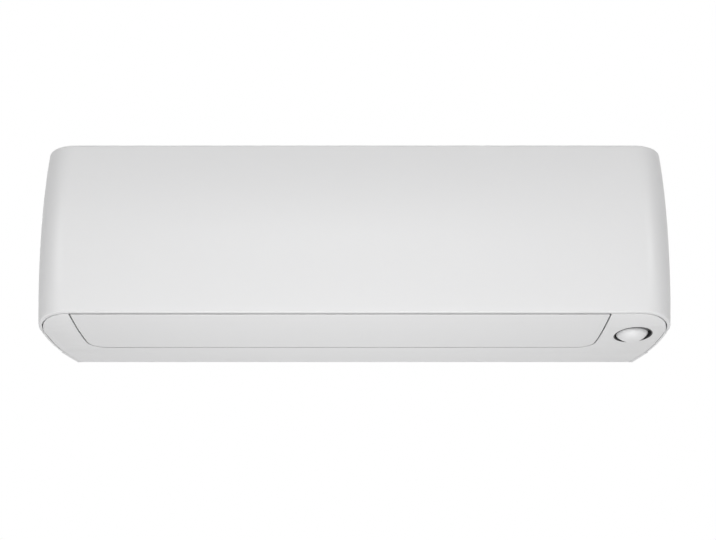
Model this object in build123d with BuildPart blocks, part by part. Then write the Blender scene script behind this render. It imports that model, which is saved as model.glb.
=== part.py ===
from build123d import *
from math import asin, cos, hypot, radians, sin, sqrt
import os

os.makedirs("parts", exist_ok=True)

# A wall-mounted indoor unit of a split air conditioner, in millimetres.
# +X runs to the right as seen from the room, +Y into the wall and +Z up.
# The origin is the middle of the wall plate's four outer screw holes, on the wall.
# Pieces are placed by their depth from the wall and their height above the underside.

# ---------------------------------------------------------------- the outer form
body_width = 998.0
body_height = 299.0
body_depth = 292.0
widest_height = body_height - 82.0   # the front bulges furthest into the room here
top_depth = body_depth - 7.0         # depth of the front at its top edge
lip_depth = body_depth - 26.0        # depth of the front's lower edge, the lip
lip_height = 30.3
flat_depth = body_depth - 207.0      # the underside is flat to here, then sweeps to the lip
corner_radius = 56.0                 # upright corners, seen from above
top_edge_radius = 7.0
underside_below_origin = 160.0

# ---------------------------------------------------------------- walls and clearances
panel_wall = 3.0
rim_width = 6.0             # the shell's visible lower edge
rim_height = 4.0
wall = 2.5                  # ordinary moulded wall
sheet = 1.2                 # galvanised sheet
board = 1.6                 # circuit boards
shell_gap = 0.6             # panel rim to the mouldings inside it
seam_gap = 1.5              # panel to casing at the side and top seams
touch_gap = 0.3             # pieces that seat on each other
running_gap = 0.08          # shafts and pins in their holes
side_seam_depth = 95.0      # the panel's sides reach back to here
top_seam_depth = body_depth - 52.0   # and its top edge to here

# ---------------------------------------------------------------- air path
flap_left = -body_width / 2 + 62.5
flap_right = body_width / 2 - 106.5
flap_edge = 2.6             # flap thickness at its rim
flap_belly = 6.5            # and in its middle
flap_corner_radius = 27.0
flap_gap = 2.4
duct_plate = 2.5            # end plates of the air path
duct_left = flap_left - flap_gap
duct_right = flap_right + flap_gap
duct_middle = (duct_left + duct_right) / 2

# ---------------------------------------------------------------- cross-flow fan
fan_depth = body_depth - 167.0
fan_height = body_height - 169.0
fan_radius = 52.0
fan_inner_radius = 40.0
fan_blades = 28
fan_bays = 5
fan_disc = 2.5
fan_end_gap = 8.0
fan_shaft_radius = 5.0
hub_radius = 16.0

# ---------------------------------------------------------------- round the fan
# Depth and height of the lines that the air follows, set out from the fan.
duct_top = (fan_depth + 59.0, fan_height - 22.0)         # the tongue beside the fan
duct_foot = (fan_depth + 127.0, 47.8)                    # the front wall's lower end
duct_rise = 32.0                                         # its upright part above that
scroll_points = ((fan_depth - 59.0, fan_height + 52.0), (fan_depth - 66.0, fan_height),
                 (fan_depth - 51.0, fan_height - 50.0))
scroll_foot = (fan_depth + 1.0, 7.0)
flap_back = scroll_foot[0] + 4.5
flap_front = duct_foot[0] + 5.0

# ---------------------------------------------------------------- joints
panel_axis_depth = fan_depth + 65.0
panel_axis_height = body_height - 12.0
panel_pin_radius = 3.5
flap_axis_depth = flap_back + 34.5
flap_axis_height = 21.0
flap_pin_radius = 3.0

# ---------------------------------------------------------------- heat exchanger
pack_thickness = 25.0
pack_left = flap_left + 18.5
pack_right = flap_right - 20.5
# lower and upper end of each fin pack's middle line, as depth and height
front_pack = ((fan_depth + 105.0, fan_height - 40.0), (fan_depth + 111.0, fan_height + 43.0))
top_pack = ((fan_depth + 105.0, fan_height + 60.0), (fan_depth + 33.0, fan_height + 134.0))
rear_pack = ((fan_depth + 7.0, fan_height + 138.0), (fan_depth - 65.0, fan_height + 76.0))
tube_radius = 3.5
tube_plate_margin = 2.0
bends_per_pack = 3

# ---------------------------------------------------------------- vanes
vanes_per_bank = 5
bank_gap = 20.0             # between the two banks, at the middle of the outlet
vane_place = 0.45           # how far down the front wall the pivots stand
vane_thickness = 2.0
vane_depth = 50.0           # reach into the air path
vane_lead = 27.0            # ahead of the pivot, towards the fan
vane_trail = 21.0
vane_pin_radius = 2.0
vane_swing = 30.0           # degrees to each side
lever = 12.0                # pivot to link pin
link_pin_radius = 1.5
link_width = 9.0
link_thickness = 2.4
link_level = 13.5           # middle of the link bar, below the front wall

# ---------------------------------------------------------------- motors and sensor
motor_radius = 46.0
motor_length = 46.0
motor_left = duct_right + duct_plate + 6.0
flap_motor_radius = 11.5
flap_motor_length = 14.0
sensor_x = body_width / 2 - 53.0
sensor_depth = fan_depth + 65.0
sensor_radius = 30.4

# ---------------------------------------------------------------- wall plate and pipes
plate_width = body_width - 238.0
plate_height = 180.0
plate_holes_across = plate_width - 140.0
plate_holes_up = 150.0
plate_hole_radius = 2.6
screw_head_radius = 7.0     # clearance round the wall screws' heads
back_depth = 8.0            # the chassis back stands off the wall to clear the plate
hook_x = plate_width / 2 - 130.0
hook_width = 34.0
hook_low = underside_below_origin + 72.0
hook_high = hook_low + 14.0
hook_tip = 3.0              # the hooks' upturned tips, in front of the chassis
hook_seat = hook_low + sheet            # the chassis rests here
hook_slot = 18.0            # tall enough to pass over the hooks
gas_radius = 6.35
liquid_radius = 3.175
gas_depth = 34.0
gas_height = 42.0
gas_end_x = duct_middle + 142.0
liquid_depth = 22.0
liquid_height = 62.0
liquid_end_x = gas_end_x + 45.0
pipe_drop_x = duct_right + 9.1
pipe_bend = 14.0
spigot_radius = 6.0
spigot_bore = 4.5
spigot_depth = duct_foot[0] - 12.0
spigot_height = 69.5
spigot_length = 18.0


def at(depth, height):
    """A point of a side view, from its depth off the wall and height over the underside."""
    return (-depth, height - underside_below_origin)


def place(x, depth, height):
    """A point in the part's frame, from the same two distances."""
    return (x, -depth, height - underside_below_origin)


def block(across, depths, heights, mode=Mode.ADD):
    """A square block between two limits across, in depth and in height."""
    middle = [(limits[0] + limits[1]) / 2 for limits in (across, depths, heights)]
    with Locations(place(*middle)):
        Box(across[1] - across[0], depths[1] - depths[0], heights[1] - heights[0], mode=mode)


def rod(x_from, x_to, depth, height, radius, mode=Mode.ADD):
    """A round bar along X."""
    with Locations(place((x_from + x_to) / 2, depth, height)):
        Cylinder(radius, abs(x_to - x_from), rotation=(0, 90, 0), mode=mode)


def peg(x, depth_from, depth_to, height, radius, mode=Mode.ADD):
    """A round bar that points from the wall into the room."""
    with Locations(place(x, (depth_from + depth_to) / 2, height)):
        Cylinder(radius, abs(depth_to - depth_from), rotation=(90, 0, 0), mode=mode)


def save(piece, name):
    """Label a finished piece and write it out."""
    piece.part.label = name
    export_step(piece.part, f"parts/{name}.step")


# ================================================================ the outer form
# The front is two arcs that meet where it bulges furthest, and the underside is a flat
# and an arc that runs up to the lip. Every shell is this form, drawn in and cut.
front_top_radius = hypot(body_height - widest_height, body_depth - top_depth) ** 2 / (
    2 * (body_depth - top_depth)
)
front_low_radius = hypot(widest_height - lip_height, body_depth - lip_depth) ** 2 / (
    2 * (body_depth - lip_depth)
)
under_radius = hypot(lip_depth - flat_depth, lip_height) ** 2 / (2 * lip_height)


def front_depth(height, inset=0.0):
    """Depth of the front face at a height, drawn in by inset."""
    radius = front_top_radius if height > widest_height else front_low_radius
    reach = sqrt((radius - inset) ** 2 - (height - widest_height) ** 2)
    return body_depth - radius + reach


def under_height(depth, lift=0.0):
    """Height of the underside at a depth, raised by lift."""
    if depth < flat_depth:
        return lift
    return under_radius - sqrt((under_radius - lift) ** 2 - (depth - flat_depth) ** 2)


def lip_point(inset, lift):
    """Where the drawn-in front meets the raised underside."""
    depth = lip_depth
    for _ in range(30):
        height = under_height(depth, lift)
        depth = front_depth(height, inset)
    return depth, height


def form(inset, lift, back, top, top_radius=0.0):
    """The outer form, drawn in at the front and sides and raised below, from back to front."""
    lip = lip_point(inset, lift)
    high = min(top, widest_height)
    low_middle = (high + lip[1]) / 2
    top_middle = (top + widest_height) / 2
    start = max(back, flat_depth)
    under_middle = (start + lip[0]) / 2
    with BuildPart() as shape:
        with BuildSketch(Plane.YZ):
            with BuildLine():
                if back < flat_depth:
                    Line(at(flat_depth, lift), at(back, lift))
                Polyline(at(back, under_height(back, lift)), at(back, top),
                         at(front_depth(top, inset), top))
                if top > widest_height:
                    ThreePointArc(at(front_depth(top, inset), top),
                                  at(front_depth(top_middle, inset), top_middle),
                                  at(front_depth(high, inset), high))
                ThreePointArc(at(front_depth(high, inset), high),
                              at(front_depth(low_middle, inset), low_middle),
                              at(*lip))
                ThreePointArc(at(*lip), at(under_middle, under_height(under_middle, lift)),
                              at(start, under_height(start, lift)))
            make_face()
        extrude(amount=body_width / 2 - inset, both=True)
        front_radii = (front_top_radius - inset, front_low_radius - inset)
        corners = [
            edge for edge in shape.edges().filter_by(GeomType.CIRCLE)
            if min(abs(edge.radius - radius) for radius in front_radii) < 1.0
        ]
        fillet(corners, corner_radius - inset)
        if top_radius > 0:
            rim = shape.edges().group_by(Axis.Z)[-1]
            fillet([edge for edge in rim if edge.center().Y < -back - 1], top_radius)
    return shape.part


# ================================================================ front panel
# One seamless moulding: the front, both rounded corners and most of both sides. It hangs
# on a pin at each end and swings up for the filters.
panel_skin = form(0, 0, side_seam_depth, body_height, top_edge_radius)
panel_hollow = form(panel_wall, rim_height, -10, body_height - panel_wall,
                    top_edge_radius - panel_wall)
panel_mouth = form(rim_width, -20, -10, lip_height + 4 * rim_height)
half_inside = body_width / 2 - rim_width - shell_gap     # half width of what the rim surrounds
panel_pin_end = half_inside - wall - 4.0

with BuildPart() as front_panel:
    add(panel_skin)
    add(panel_hollow, mode=Mode.SUBTRACT)
    add(panel_mouth, mode=Mode.SUBTRACT)
    block((-half_inside, half_inside), (0, top_seam_depth),
          (body_height - 2 * panel_wall, body_height + 1), Mode.SUBTRACT)
    for side in (-1, 1):
        rod(side * panel_pin_end, side * (body_width / 2 - panel_wall / 2),
            panel_axis_depth, panel_axis_height, panel_pin_radius)
save(front_panel, "front_panel")

# ================================================================ front casing
# The fixed casing: the rear part of both sides, the top with its intake grille, and the
# frame behind the panel, open at the filters.
inner_inset = rim_width + shell_gap
cover_rim = 12.0                                         # the bottom cover's upturned edge
rear_end = side_seam_depth - seam_gap
top_end = top_seam_depth - seam_gap
casing_back = 1.5
window_low = 80.0
window_high = body_height - 33.0
window_bar = 12.0                                        # between the two filters
window_sides = ((-body_width / 2 + 47.0, duct_middle - window_bar / 2),
                (duct_middle + window_bar / 2, flap_right - 0.5))
service_sides = (duct_right + 13.1, body_width / 2 - 17.0)   # the opening over the terminals
service_low = window_low
service_high = body_height - 49.0
grille_pitch = 30.0
grille_bar = 9.0
grille_columns = int((body_width - 118.0) / grille_pitch)
grille_rows = ((26.0, fan_depth - 7.0), (fan_depth + 3.0, top_seam_depth - 18.0))

filter_wall = 2.0                                        # the filters' frames and their line
filter_foot = (duct_foot[0] + 4.0, window_low + 2.0)
filter_knee = (duct_foot[0] + 8.0, fan_height + 40.0)
filter_shoulder = (duct_foot[0] - 14.0, fan_height + 92.0)
filter_brow = (fan_depth + 59.0, body_height - 19.0)
filter_end = (fan_depth - 13.0, body_height - 15.0)
filter_margin = 6.0
sill_depth = filter_foot[0] - filter_wall - 1.0          # the filters stand on this ledge
boss_height = 66.0                                       # screws through the lower bar
boss_places = (flap_left + 36.5, duct_middle, flap_right - 32.5)
screw_radius = 1.5
screw_length = 14.0
head_radius = 4.0
head_height = 1.8
screw_seat = front_depth(boss_height, inner_inset) - 1.3
button_height = 58.0                                     # emergency button, behind the panel
button_x = flap_right - 92.5
button_radius = 4.0
button_travel = 1.0
bar_depth = front_depth(button_height, inner_inset)

casing_skin = form(0, 0, casing_back, body_height, top_edge_radius)
casing_hollow = form(panel_wall, rim_height, -10, body_height - panel_wall,
                     top_edge_radius - panel_wall)
casing_mouth = form(rim_width, -20, -10, lip_height + 4 * rim_height)
frame_skin = form(inner_inset, cover_rim + touch_gap, rear_end - wall, body_height)
frame_hollow = form(inner_inset + wall, -20, -10, body_height - inner_inset - wall)

with BuildPart() as front_casing:
    add(casing_skin)
    block((-body_width, body_width), (rear_end, 2 * body_depth), (-50, 2 * body_height),
          Mode.SUBTRACT)
    add(casing_mouth, mode=Mode.SUBTRACT)
    rear_hollow = casing_hollow & Box(
        2 * body_width, rear_end - wall + 10, 4 * body_height, mode=Mode.PRIVATE,
        align=(Align.CENTER, Align.MAX, Align.CENTER)).moved(Location((0, 10, 0)))
    add(rear_hollow, mode=Mode.SUBTRACT)
    add(frame_skin)
    block((-body_width, body_width), (top_end, body_depth),
          (body_height - inner_inset, body_height + 1), Mode.SUBTRACT)
    add(frame_hollow, mode=Mode.SUBTRACT)
    block((-half_inside + wall, half_inside - wall), (-5, top_end - wall),
          (body_height - inner_inset - wall - 1, body_height - panel_wall), Mode.SUBTRACT)
    for sides in window_sides:
        block(sides, (fan_depth, body_depth), (window_low, window_high), Mode.SUBTRACT)
        block(sides, (sill_depth, front_depth(filter_foot[1], inner_inset) - wall / 2),
              (filter_foot[1] - wall, filter_foot[1]))
    block(service_sides, (fan_depth, body_depth), (service_low, service_high), Mode.SUBTRACT)
    for row in grille_rows:
        with Locations(place(0, (row[0] + row[1]) / 2, body_height)):
            with GridLocations(grille_pitch, 1, grille_columns, 1):
                Box(grille_pitch - grille_bar, row[1] - row[0], 4 * panel_wall,
                    mode=Mode.SUBTRACT)
    rod(-body_width / 2 + 4, body_width / 2 - 4, panel_axis_depth, panel_axis_height,
        panel_pin_radius + running_gap, Mode.SUBTRACT)
    for x in boss_places:
        peg(x, duct_foot[0], body_depth, boss_height, screw_radius + touch_gap, Mode.SUBTRACT)
        peg(x, screw_seat, body_depth, boss_height, head_radius + touch_gap, Mode.SUBTRACT)
    peg(button_x, duct_foot[0], body_depth, button_height, button_radius + touch_gap,
        Mode.SUBTRACT)
save(front_casing, "front_casing")

# ================================================================ bottom cover
# The face under the unit, inside the shell's rim: a tray with the outlet opening, which
# runs out to the front, and the round hole for the sensor.
cover_back = 4.0
opening_back = flap_back - flap_gap
cover_skin = form(inner_inset, 0, cover_back, lip_height + 2 * cover_rim)
cover_hollow = form(inner_inset + wall, wall, -10, lip_height + 4 * cover_rim)
cover_above = form(-2, cover_rim, -10, lip_height + 5 * cover_rim)
under_slope = (sensor_depth - flat_depth) / under_radius     # sine of the slope at the sensor
sensor_plane = Plane(origin=place(sensor_x, sensor_depth, under_height(sensor_depth)),
                     x_dir=(1, 0, 0), z_dir=(0, -under_slope, -sqrt(1 - under_slope**2)))

with BuildPart() as bottom_cover:
    add(cover_skin)
    add(cover_hollow, mode=Mode.SUBTRACT)
    add(cover_above, mode=Mode.SUBTRACT)
    with BuildSketch(Plane.XY.offset(-underside_below_origin - 5)) as outlet_plan:
        with Locations((duct_middle, -(opening_back + body_depth) / 2)):
            Rectangle(duct_right - duct_left, body_depth - opening_back)
        rear_corners = outlet_plan.vertices().group_by(Axis.Y)[-1]
        fillet(rear_corners, flap_corner_radius + flap_gap)
    extrude(amount=lip_height + 3 * cover_rim, mode=Mode.SUBTRACT)
    with BuildSketch(sensor_plane.offset(5)):
        Circle(sensor_radius)
    extrude(amount=-20, mode=Mode.SUBTRACT)
save(bottom_cover, "bottom_cover")

# ================================================================ flap
# A long blade that closes the outlet flush with the underside. Its outer face follows the
# underside, its inner face bows inward, and it turns on two pins behind its middle.
flap_ear = 3.0
flap_under = (flap_back + flap_front) / 2
pin_reach = flap_gap + duct_plate + 2.0

with BuildPart() as flap:
    with BuildSketch(Plane.YZ.offset(flap_left)):
        with BuildLine():
            back_low = at(flap_back, under_height(flap_back))
            back_high = at(flap_back, under_height(flap_back) + flap_edge)
            front_low = at(flap_front, under_height(flap_front))
            front_high = at(flap_front, under_height(flap_front) + flap_edge)
            ThreePointArc(back_low, at(flap_under, under_height(flap_under)), front_low)
            Line(front_low, front_high)
            ThreePointArc(front_high, at(flap_under, under_height(flap_under) + flap_belly),
                          back_high)
            Line(back_high, back_low)
        make_face()
    extrude(amount=flap_right - flap_left)
    with BuildSketch(Plane.XY.offset(-underside_below_origin - 5)) as flap_plan:
        with Locations(((flap_left + flap_right) / 2, -(flap_back + body_depth) / 2)):
            Rectangle(flap_right - flap_left, body_depth - flap_back)
        fillet(flap_plan.vertices().group_by(Axis.Y)[-1], flap_corner_radius)
    extrude(amount=body_height, mode=Mode.INTERSECT)
    for start in (flap_left, flap_right - flap_ear):
        with BuildSketch(Plane.YZ.offset(start)):
            with Locations(at(flap_axis_depth, flap_axis_height)):
                Circle(2 * flap_pin_radius)
            with BuildLine():
                Polyline(at(flap_axis_depth - 2 * flap_pin_radius, flap_axis_height),
                         at(flap_axis_depth - 5, under_height(flap_axis_depth) + 3),
                         at(flap_axis_depth + 22, under_height(flap_axis_depth) + 6),
                         at(flap_axis_depth + 2 * flap_pin_radius, flap_axis_height),
                         close=True)
            make_face()
        extrude(amount=flap_ear)
    rod(flap_left - pin_reach, flap_left + flap_ear / 2, flap_axis_depth, flap_axis_height,
        flap_pin_radius)
    rod(flap_right - flap_ear / 2, flap_right + pin_reach, flap_axis_depth, flap_axis_height,
        flap_pin_radius)
save(flap, "flap")

# ================================================================ lines of the air path
# The vanes, their link bars and the end plates are laid out from the front wall's slope.
duct_fall = hypot(duct_foot[0] - duct_top[0], duct_foot[1] - duct_top[1])
flow = ((duct_foot[0] - duct_top[0]) / duct_fall, (duct_foot[1] - duct_top[1]) / duct_fall)
inward = (flow[1], -flow[0])              # from the front wall into the air path
bank_length = (duct_right - duct_left - bank_gap) / 2
vane_pitch = bank_length / vanes_per_bank
vane_pivot = (duct_top[0] + vane_place * (duct_foot[0] - duct_top[0]),
              duct_top[1] + vane_place * (duct_foot[1] - duct_top[1]))
bank_starts = {
    "left": duct_middle - bank_gap / 2 - bank_length,
    "right": duct_middle + bank_gap / 2,
}
vane_places = [
    bank_starts[bank] + (index + 0.5) * vane_pitch
    for bank in ("left", "right") for index in range(vanes_per_bank)
]


def in_duct(x, along, into):
    """A point of the air path: along the front wall from the pivots, and into the path."""
    depth = vane_pivot[0] + along * flow[0] + into * inward[0]
    height = vane_pivot[1] + along * flow[1] + into * inward[1]
    return place(x, depth, height)


def duct_plane(x, into):
    """A plane along the front wall, its normal pointing into the air path."""
    return Plane(origin=in_duct(x, 0, into), x_dir=(1, 0, 0), z_dir=(0, -inward[0], inward[1]))


pin_gap = 0.6                             # link pin in its slot
pin_drift = lever * (1 - cos(radians(vane_swing)))      # the pin's travel along the slot
link_line = -lever + pin_drift / 2
link_slot = 2 * (link_pin_radius + pin_gap)
crank_reach = 15.0                        # crank axis beyond the end plate
crank_places = {
    "left": duct_left - duct_plate - crank_reach,
    "right": duct_right + duct_plate + crank_reach,
}

# ================================================================ rear chassis
# The frame that everything is built on: a back wall that hooks on the wall plate, the
# scroll behind the fan, and an end plate at each end of the air path.
chassis_side = body_width / 2 - rim_width - shell_gap - 6.0
chassis_high = body_height - 13.0
chassis_low = 14.0
pipe_recess = (-body_width / 2 + 169.0, duct_right - 2.9)
recess_low = 22.0
recess_high = 74.0
plate_top = fan_height + 66.0             # the end plates' front corner
shelf_high = plate_top                    # joins the scroll's top to the back wall
shelf_low = shelf_high - 12.0

with BuildPart() as rear_chassis:
    block((-chassis_side, chassis_side), (back_depth, back_depth + wall),
          (chassis_low, chassis_high))
    for side in (-1, 1):
        block(sorted((side * chassis_side, side * (chassis_side - wall))),
              (casing_back, 60), (chassis_low, chassis_high))
    block((-chassis_side, chassis_side), (casing_back, 40),
          (chassis_high - wall, chassis_high))
    block(pipe_recess, (0, back_depth + 2 * wall), (recess_low, recess_high), Mode.SUBTRACT)
    with BuildSketch(Plane.YZ.offset(duct_left - duct_plate)):
        with BuildLine():
            ThreePointArc(*[at(*point) for point in scroll_points])
            Line(at(*scroll_points[-1]), at(*scroll_foot))
            offset(amount=wall, side=Side.LEFT)
        make_face()
    extrude(amount=duct_right - duct_left + 2 * duct_plate)
    for start in (duct_left - duct_plate, duct_right):
        with BuildSketch(Plane.YZ.offset(start)):
            with BuildLine():
                ThreePointArc(*[at(*point) for point in scroll_points])
                Polyline(at(*scroll_points[-1]), at(*scroll_foot),
                         at(flap_axis_depth, 12.0), at(duct_foot[0], duct_foot[1] - 12),
                         at(duct_foot[0], duct_foot[1] + 10), at(duct_top[0] + 8, fan_height),
                         at(duct_top[0] + 2, plate_top), at(*scroll_points[0]))
            make_face()
        extrude(amount=duct_plate)
    with BuildSketch(Plane.YZ.offset(duct_left)):
        Polygon(at(back_depth + wall, shelf_high), at(scroll_points[0][0], shelf_low + 6),
                at(scroll_points[0][0], shelf_low - 6), at(back_depth + wall, shelf_low),
                align=None)
    extrude(amount=duct_right - duct_left)
    rod(duct_left - 2 * duct_plate, duct_left + duct_plate, fan_depth, fan_height,
        hub_radius, Mode.SUBTRACT)
    rod(duct_right - duct_plate, duct_right + 2 * duct_plate, fan_depth, fan_height,
        hub_radius, Mode.SUBTRACT)
    rod(-body_width / 2, body_width / 2, flap_axis_depth, flap_axis_height,
        flap_pin_radius + running_gap, Mode.SUBTRACT)
    for bank, x in (("left", duct_left - 2 * duct_plate), ("right", duct_right - duct_plate)):
        with BuildSketch(Plane(origin=in_duct(x, link_line, link_level), z_dir=(1, 0, 0),
                               x_dir=(0, -flow[0], flow[1]))):
            Rectangle(link_width + 2, link_thickness + 2)
        extrude(amount=4 * duct_plate, mode=Mode.SUBTRACT)
        rod(x, x + 4 * duct_plate, spigot_depth, spigot_height, spigot_radius + touch_gap,
            Mode.SUBTRACT)
    for side in (-1, 1):
        block((side * hook_x - hook_width / 2 - 3, side * hook_x + hook_width / 2 + 3),
              (0, back_depth + 2 * wall), (hook_seat - hook_slot, hook_seat), Mode.SUBTRACT)
        for up in (-1, 1):
            peg(side * plate_holes_across / 2, 0, back_depth + 2 * wall,
                underside_below_origin + up * plate_holes_up / 2, screw_head_radius,
                Mode.SUBTRACT)
save(rear_chassis, "rear_chassis")

# ================================================================ outlet duct
# The front wall of the air path: it runs from the tongue beside the fan down to the front
# of the outlet, and carries the vanes' pivots.
with BuildPart() as outlet_duct:
    with BuildSketch(Plane.YZ.offset(duct_left + touch_gap)):
        with BuildLine():
            Polyline(at(*duct_top), at(*duct_foot), at(duct_foot[0], duct_foot[1] + duct_rise))
            offset(amount=wall, side=Side.RIGHT)
        make_face()
        with Locations(at(duct_top[0] + 1.2, duct_top[1] + 1.2)):
            Circle(wall)
    extrude(amount=duct_right - duct_left - 2 * touch_gap)
    for x in boss_places:
        peg(x, duct_foot[0] - 1, screw_seat - 4.0, boss_height, head_radius)
        peg(x, duct_foot[0] - 8, lip_depth, boss_height, screw_radius + running_gap,
            Mode.SUBTRACT)
    for x in vane_places:
        with BuildSketch(duct_plane(x, -4 * wall)):
            Circle(vane_pin_radius + running_gap)
        extrude(amount=5 * wall, mode=Mode.SUBTRACT)
save(outlet_duct, "outlet_duct")

# ================================================================ vanes and link bars
# Upright blades turn in two banks. Each hangs on a pin in the front wall, and a
# pin in its window rides in a slot of the bank's link bar.
window_ahead = 21.0
window_behind = 5.5
window_half = 4.5
lead_radius = 8.0

for number, x in enumerate(vane_places, start=1):
    blade_plane = Plane(origin=in_duct(x - vane_thickness / 2, 0, 0),
                        x_dir=(0, -flow[0], flow[1]), z_dir=(1, 0, 0))
    with BuildPart() as vane:
        with BuildSketch(blade_plane) as blade:
            with Locations(((vane_trail - vane_lead) / 2, vane_depth / 2 + 1.5)):
                Rectangle(vane_trail + vane_lead, vane_depth - 3)
            fillet(blade.vertices().group_by(Axis.Y)[-1], lead_radius)
            with Locations((-(window_ahead + window_behind) / 2, link_level)):
                Rectangle(window_ahead - window_behind, 2 * window_half, mode=Mode.SUBTRACT)
        extrude(amount=vane_thickness)
        with BuildSketch(duct_plane(x, -wall)):
            Circle(vane_pin_radius)
        extrude(amount=wall + 4)
        with BuildSketch(duct_plane(x, touch_gap)):
            Circle(2 * vane_pin_radius)
        extrude(amount=4)
        with BuildSketch(duct_plane(x, link_level - window_half - 1)):
            with Locations((0, -lever)):
                Circle(link_pin_radius)
        extrude(amount=2 * window_half + 2)
    save(vane, f"vane_{number}")

for bank, start in bank_starts.items():
    slots = [start + (index + 0.5) * vane_pitch for index in range(vanes_per_bank)]
    slots.append(crank_places[bank])
    bar_start = min(slots) - link_width * 0.6
    bar_end = max(slots) + link_width * 0.6
    with BuildPart() as link_bar:
        with BuildSketch(duct_plane(0, link_level - link_thickness / 2)):
            with Locations(((bar_start + bar_end) / 2, link_line)):
                Rectangle(bar_end - bar_start, link_width)
            for slot in slots:
                with Locations((slot, link_line)):
                    SlotOverall(link_slot + pin_drift, link_slot, rotation=90,
                                mode=Mode.SUBTRACT)
        extrude(amount=link_thickness)
    save(link_bar, f"link_bar_{bank}")

# A small motor outside each end plate turns a crank, whose pin drives the link bar.
crank_thickness = 3.0
crank_level = 4.0
vane_motor_radius = 12.0
vane_motor_length = 13.0
vane_shaft_radius = 2.5
for bank, x in crank_places.items():
    with BuildPart() as vane_crank:
        with BuildSketch(duct_plane(x, crank_level)):
            with Locations((0, -lever / 2)):
                SlotOverall(lever + 8, 8, rotation=90)
            Circle(vane_shaft_radius + running_gap, mode=Mode.SUBTRACT)
        extrude(amount=crank_thickness)
        with BuildSketch(duct_plane(x, crank_level + crank_thickness - 1)):
            with Locations((0, -lever)):
                Circle(link_pin_radius)
        extrude(amount=link_level - crank_level)
    save(vane_crank, f"vane_crank_{bank}")

    outward = -1 if bank == "left" else 1
    with BuildPart() as vane_motor:
        with BuildSketch(duct_plane(x, crank_level - 1)):
            Circle(vane_motor_radius)
        extrude(amount=-vane_motor_length)
        with BuildSketch(duct_plane(x, crank_level - 1)):
            Circle(vane_shaft_radius)
        extrude(amount=crank_thickness + 2)
        with BuildSketch(duct_plane(x, crank_level - 1)):
            with Locations((-outward * (crank_reach + touch_gap) / 2, 6)):
                Rectangle(crank_reach - touch_gap, 8)
        extrude(amount=-1.5)
    save(vane_motor, f"vane_motor_{bank}")

# ================================================================ cross-flow fan
# A drum of long curved blades between discs. The right end disc takes the motor's shaft
# in its hub, and the left one carries the stub that runs in the bearing.
fan_left = duct_left + fan_end_gap
fan_right = duct_right - fan_end_gap
blade_chord = fan_radius - fan_inner_radius
bay = (fan_right - fan_left - fan_disc) / fan_bays

with BuildSketch() as blade_section:
    Polygon((fan_inner_radius + 0.4, -0.3), (fan_inner_radius + 0.30 * blade_chord, 2.4),
            (fan_inner_radius + 0.65 * blade_chord, 4.4), (fan_radius - 0.7, 5.6),
            (fan_radius - 0.5, 4.9), (fan_inner_radius + 0.65 * blade_chord, 3.2),
            (fan_inner_radius + 0.35 * blade_chord, 1.3), (fan_inner_radius + 0.8, -0.6),
            align=None)

with BuildPart() as cross_flow_fan:
    with BuildSketch(Plane.YZ.offset(fan_left)):
        with Locations(at(fan_depth, fan_height)):
            with PolarLocations(0, fan_blades):
                add(blade_section.sketch)
    extrude(amount=fan_right - fan_left)
    for index in range(fan_bays + 1):
        with BuildSketch(Plane.YZ.offset(fan_left + index * bay)):
            with Locations(at(fan_depth, fan_height)):
                Circle(fan_radius)
                if 0 < index < fan_bays:
                    Circle(fan_inner_radius, mode=Mode.SUBTRACT)
        extrude(amount=fan_disc)
    rod(fan_left, fan_left + 12, fan_depth, fan_height, hub_radius - 2)
    rod(fan_right, fan_right - 22, fan_depth, fan_height, hub_radius - 2)
    rod(fan_left - 1, fan_left + 13, fan_depth, fan_height, fan_shaft_radius, Mode.SUBTRACT)
    rod(fan_right + 1, fan_right - 23, fan_depth, fan_height, fan_shaft_radius, Mode.SUBTRACT)
save(cross_flow_fan, "cross_flow_fan")

bearing_outer = hub_radius - touch_gap
stub_end = duct_left - duct_plate - 10.0
with BuildPart() as fan_stub_shaft:
    rod(stub_end, fan_left + 12, fan_depth, fan_height, fan_shaft_radius)
save(fan_stub_shaft, "fan_stub_shaft")

with BuildPart() as fan_bearing:
    rod(duct_left - duct_plate - 8, duct_left - 0.5, fan_depth, fan_height, bearing_outer)
    rod(duct_left - duct_plate - 8, duct_left - duct_plate - touch_gap, fan_depth, fan_height,
        bearing_outer + 5)
    rod(duct_left - 30, duct_left + 3, fan_depth, fan_height,
        fan_shaft_radius + running_gap, Mode.SUBTRACT)
save(fan_bearing, "fan_bearing")

# ================================================================ fan motor
# A flat round motor at the right end, held in rubber rings between the chassis and a cover.
motor_right = motor_left + motor_length
ring_radius = 17.0
ring_length = 8.0
boss_radius = 11.0

with BuildPart() as fan_motor:
    rod(motor_left, motor_right, fan_depth, fan_height, motor_radius)
    chamfer(fan_motor.edges().filter_by(GeomType.CIRCLE), 5)
    rod(motor_left - ring_length + 3, motor_right + ring_length, fan_depth, fan_height,
        boss_radius)
    block((motor_left + 14, motor_right - 12), (fan_depth + motor_radius - 6,
          fan_depth + motor_radius + 9), (fan_height - 11, fan_height + 11))
    rod(motor_left - 40, motor_right + 40, fan_depth, fan_height,
        fan_shaft_radius + running_gap, Mode.SUBTRACT)
save(fan_motor, "fan_motor")

with BuildPart() as motor_shaft:
    rod(fan_right - 22, motor_right + ring_length - 2, fan_depth, fan_height,
        fan_shaft_radius)
save(motor_shaft, "motor_shaft")

with BuildPart() as motor_rings:
    for start in (motor_left - ring_length + 3.3, motor_right + 0.3):
        length = 4.4 if start < motor_left else ring_length - 0.6
        rod(start, start + length, fan_depth, fan_height, ring_radius)
        rod(start, start + length, fan_depth, fan_height, boss_radius, Mode.SUBTRACT)
save(motor_rings, "motor_rings")

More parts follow.
